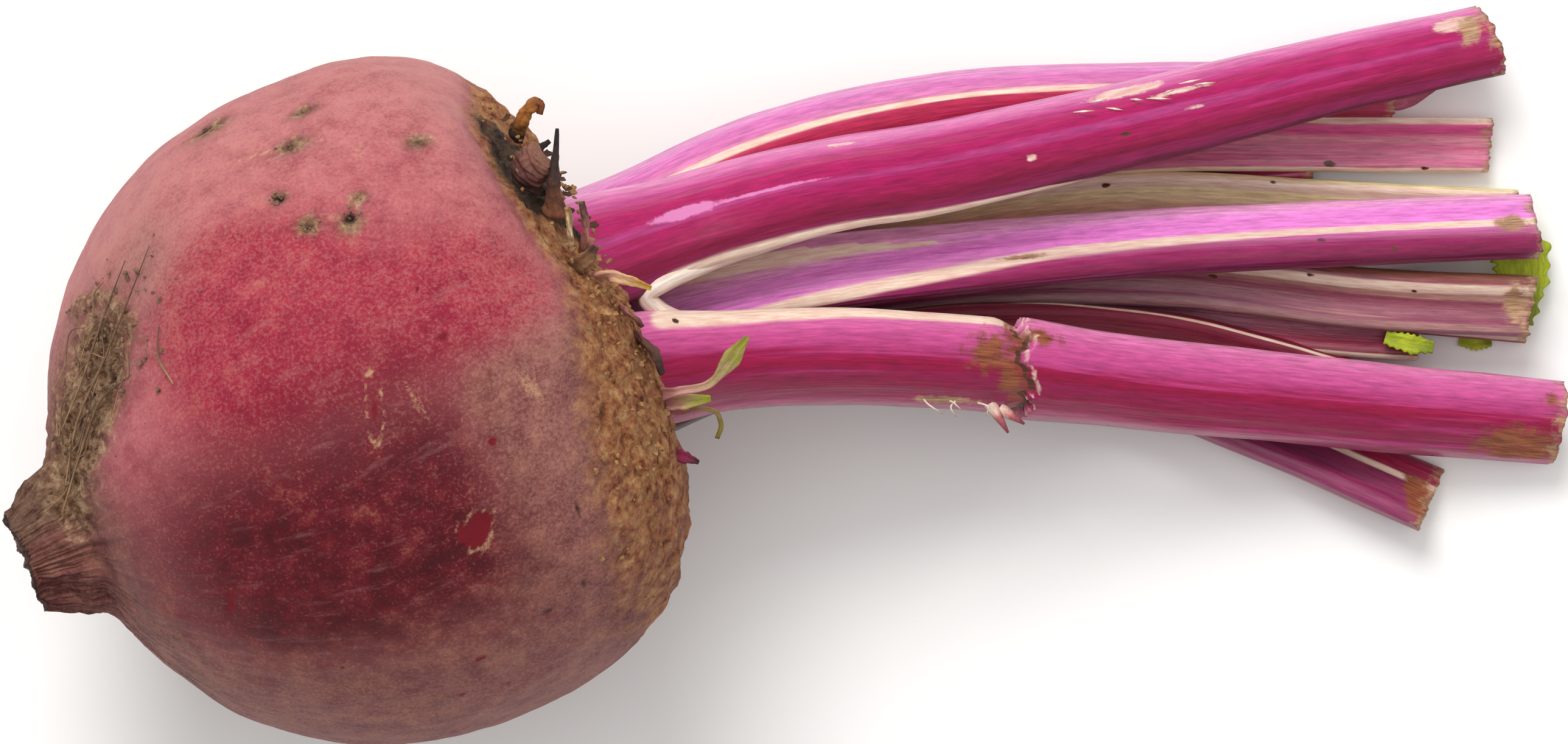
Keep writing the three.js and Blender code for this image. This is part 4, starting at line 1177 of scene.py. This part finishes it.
def crumb_field(name, places, material):
    """Many small rough lumps as one piece: [centre, half size in millimetres]."""
    maker = bmesh.new()
    for centre, size in places:
        lump = bmesh.ops.create_icosphere(maker, subdivisions=1, radius=size)
        squash = Matrix.Diagonal((rng.uniform(0.7, 1.4), rng.uniform(0.7, 1.4), rng.uniform(0.5, 0.9)))
        squash = squash.to_4x4()
        turn = Matrix.Rotation(rng.uniform(0, 6.28), 4, (rng.random(), rng.random(), 1))
        for vertex in lump["verts"]:
            vertex.co = centre + turn @ (squash @ (vertex.co * rng.uniform(0.75, 1.2)))
    finished(name, maker, material, shade_smooth=False)


def flake_field(name, places, material):
    """Many small curled plates as one piece: [centre, outward way, half length, lift from the skin]."""
    maker = bmesh.new()
    for centre, outward, size, lift in places:
        plate = bmesh.ops.create_grid(maker, x_segments=3, y_segments=3, size=size)
        faces = list({face for vertex in plate["verts"] for face in vertex.link_faces})
        shell = bmesh.ops.solidify(maker, geom=faces, thickness=0.16 * size)
        verts = set(plate["verts"]) | {g for g in shell["geom"] if isinstance(g, bmesh.types.BMVert)}
        tangent = (AXIS - outward * AXIS.dot(outward)).normalized()
        tangent = Matrix.Rotation(rng.uniform(-0.9, 0.9), 3, outward) @ tangent
        rise = (tangent * math.cos(lift) + outward * math.sin(lift)).normalized()
        side = rise.cross(outward).normalized()
        plate_up = side.cross(rise)
        narrow, curl = rng.uniform(0.5, 0.9), rng.uniform(0.1, 0.5)
        for vertex in verts:
            x, y, z = vertex.co
            jag = 1 + 0.35 * noise.noise(Vector((x, y, size)) * 2.3 / size)
            bend = curl * (x * x + 0.4 * y * y) / size
            vertex.co = centre + rise * (x + size) * jag + side * y * narrow * jag + plate_up * (z + bend)
    finished(name, maker, material, shade_smooth=False)


def skin_way(degrees):
    turn = math.radians(degrees)
    return LEFT * math.sin(turn) + UPPER * math.cos(turn)


def make_crown_litter():
    flakes, dark_flakes, crumbs = [], [], []
    for _ in range(90):
        degrees = rng.uniform(-52, 56)
        along = rng.uniform(23.5, 28.8) if degrees > -25 else rng.uniform(20, 28.6)
        outward = (skin_way(degrees) + AXIS * max(0.0, (along - 20) / 8)).normalized()
        size = rng.uniform(0.2, 0.6) if degrees > -5 else rng.uniform(0.2, 0.45)
        spot = skin_point(along, degrees, -0.2)
        target = dark_flakes if degrees > 18 and rng.random() < 0.6 else flakes
        target.append((spot, outward, size, rng.uniform(0.1, 0.7)))
    for _ in range(150):
        degrees = rng.uniform(-70, 60)
        along = rng.uniform(21.5, 29.0) if degrees > -25 else rng.uniform(13, 28.6)
        crumbs.append((skin_point(along, degrees, 0.05), rng.uniform(0.12, 0.4)))
    dry_cork = plant_scrap("dry cork flake", "#5e3c22", "#b98a58", 0.8, 0.85, 0.2)
    blackened = plant_scrap("blackened leaf base", "#160c0a", "#5a3620", 0.8, 0.8, 0.2)
    crumbled = plant_scrap("cork crumb", "#5c3a22", "#b08454", 0.6, 0.9, 0.1)
    flake_field("cork_flakes", flakes, dry_cork)
    flake_field("charred_flakes", dark_flakes, blackened)
    crumb_field("cork_crumbs", crumbs, crumbled)


# Clods on the skin: along the axis from the widest ring, degrees round it from the top, and spread.
SCATTERED_SOIL = [(-6.6, 69, 1.6), (3.4, 58, 1.0), (0.3, 50, 1.4), (13.3, 40, 0.9), (-3.8, 40, 0.7),
                  (2.4, 30, 0.9), (-2.5, 31, 1.1)]


def make_soil():
    spots = []
    for _ in range(120):
        along, degrees = rng.gauss(-28.5, 5.0), rng.gauss(44, 11)
        if -44 < along < -16:
            spots.append((skin_point(along, degrees, 0.1), rng.uniform(0.12, 0.42)))
    for along, degrees, around in SCATTERED_SOIL:
        for _ in range(9):
            spot = skin_point(along + rng.gauss(0, around * 0.6), degrees + rng.gauss(0, around), 0.05)
            spots.append((spot, rng.uniform(0.1, 0.28)))
    garden_soil = plant_scrap("dry garden soil", "#3a281c", "#94745a", 0.5, 0.95, 0.1)
    crumb_field("soil_crumbs", spots, garden_soil)


make_crown_litter()
make_soil()

# ------------------------------------------------------------------ torn fibres


TORN_LOOK = dried_leaf("torn stalk fibre", "#ecd8c0", "#f2e6d4", "#c49a74", 0.5)


def make_fibre(name, route, sizes, material=TORN_LOOK, slot="cream_stalk"):
    make_grown(name, round_section(8), route, sizes, 18, material, slot, caps=2)


def make_scrape_fibres():
    """Wisps that stand up where the top stalk was scraped."""
    scraped = stalk_edge("top_stem", [53, 55, 57, 60, 62, 64, 66, 68], 1, 1.9, 2.6)
    for number, spot in enumerate(scraped):
        lean = Vector((rng.uniform(1.2, 3.2), rng.uniform(-0.4, 1.0), rng.uniform(0.3, 0.9)))
        start = spot + Vector((0, rng.uniform(-1.8, 0.3), 0))
        route = [start, start + lean * 0.5 + Vector((0, 0, 0.3)), start + lean]
        make_fibre("scrape_fibre_%d" % (number + 1), route, [(0.1, 0.08), (0.28, 0.2), (0.06, 0.05)])


def make_snap_fibres():
    """Wisps, splinters and a peeled sliver round the snapped stalk's tear."""
    crushed = stalk_edge("snapped_stem", [34.2, 37.4, 38.1, 40.9], -1, 1.6, 1.6)
    for number, spot in enumerate(crushed):
        lean = Vector((rng.uniform(-2.6, 2.6), rng.uniform(-2.2, -1.0), rng.uniform(-0.8, 0.2)))
        bow = Vector((rng.uniform(-0.8, 0.8), 0.3, 0.5))
        make_fibre("snap_fibre_%d" % (number + 1), [spot, spot + lean * 0.5 + bow, spot + lean],
                   [(0.26, 0.22), (0.12, 0.1)])
    splinter = dried_leaf("stalk splinter", "#e8cbb8", "#c06a6c", "#8a3a4c", 0.45)
    edge = stalk_edge("snapped_stem", [43.2, 44.6], -1, 0.7, 0.4)
    for number, (spot, reach) in enumerate(zip(edge, (Vector((1.6, -2.6, -0.6)), Vector((2.2, -1.4, -0.4))))):
        make_fibre("splinter_%d" % (number + 1), [spot - reach * 0.4, spot + reach * 0.5, spot + reach],
                   [(1.7, 1.0), (1.1, 0.7), (0.3, 0.25)], splinter, "magenta_stalk")
    sliver = stalk_edge("snapped_stem", [46.5, 49, 52], 1, 1.5, 2.5)
    make_fibre("peeled_sliver", sliver, [(0.9, 0.5), (1.1, 0.5), (0.3, 0.3)],
               dried_leaf("browned sliver", "#d0a478", "#b88458", "#dcb890", 0.5))


make_scrape_fibres()
make_snap_fibres()
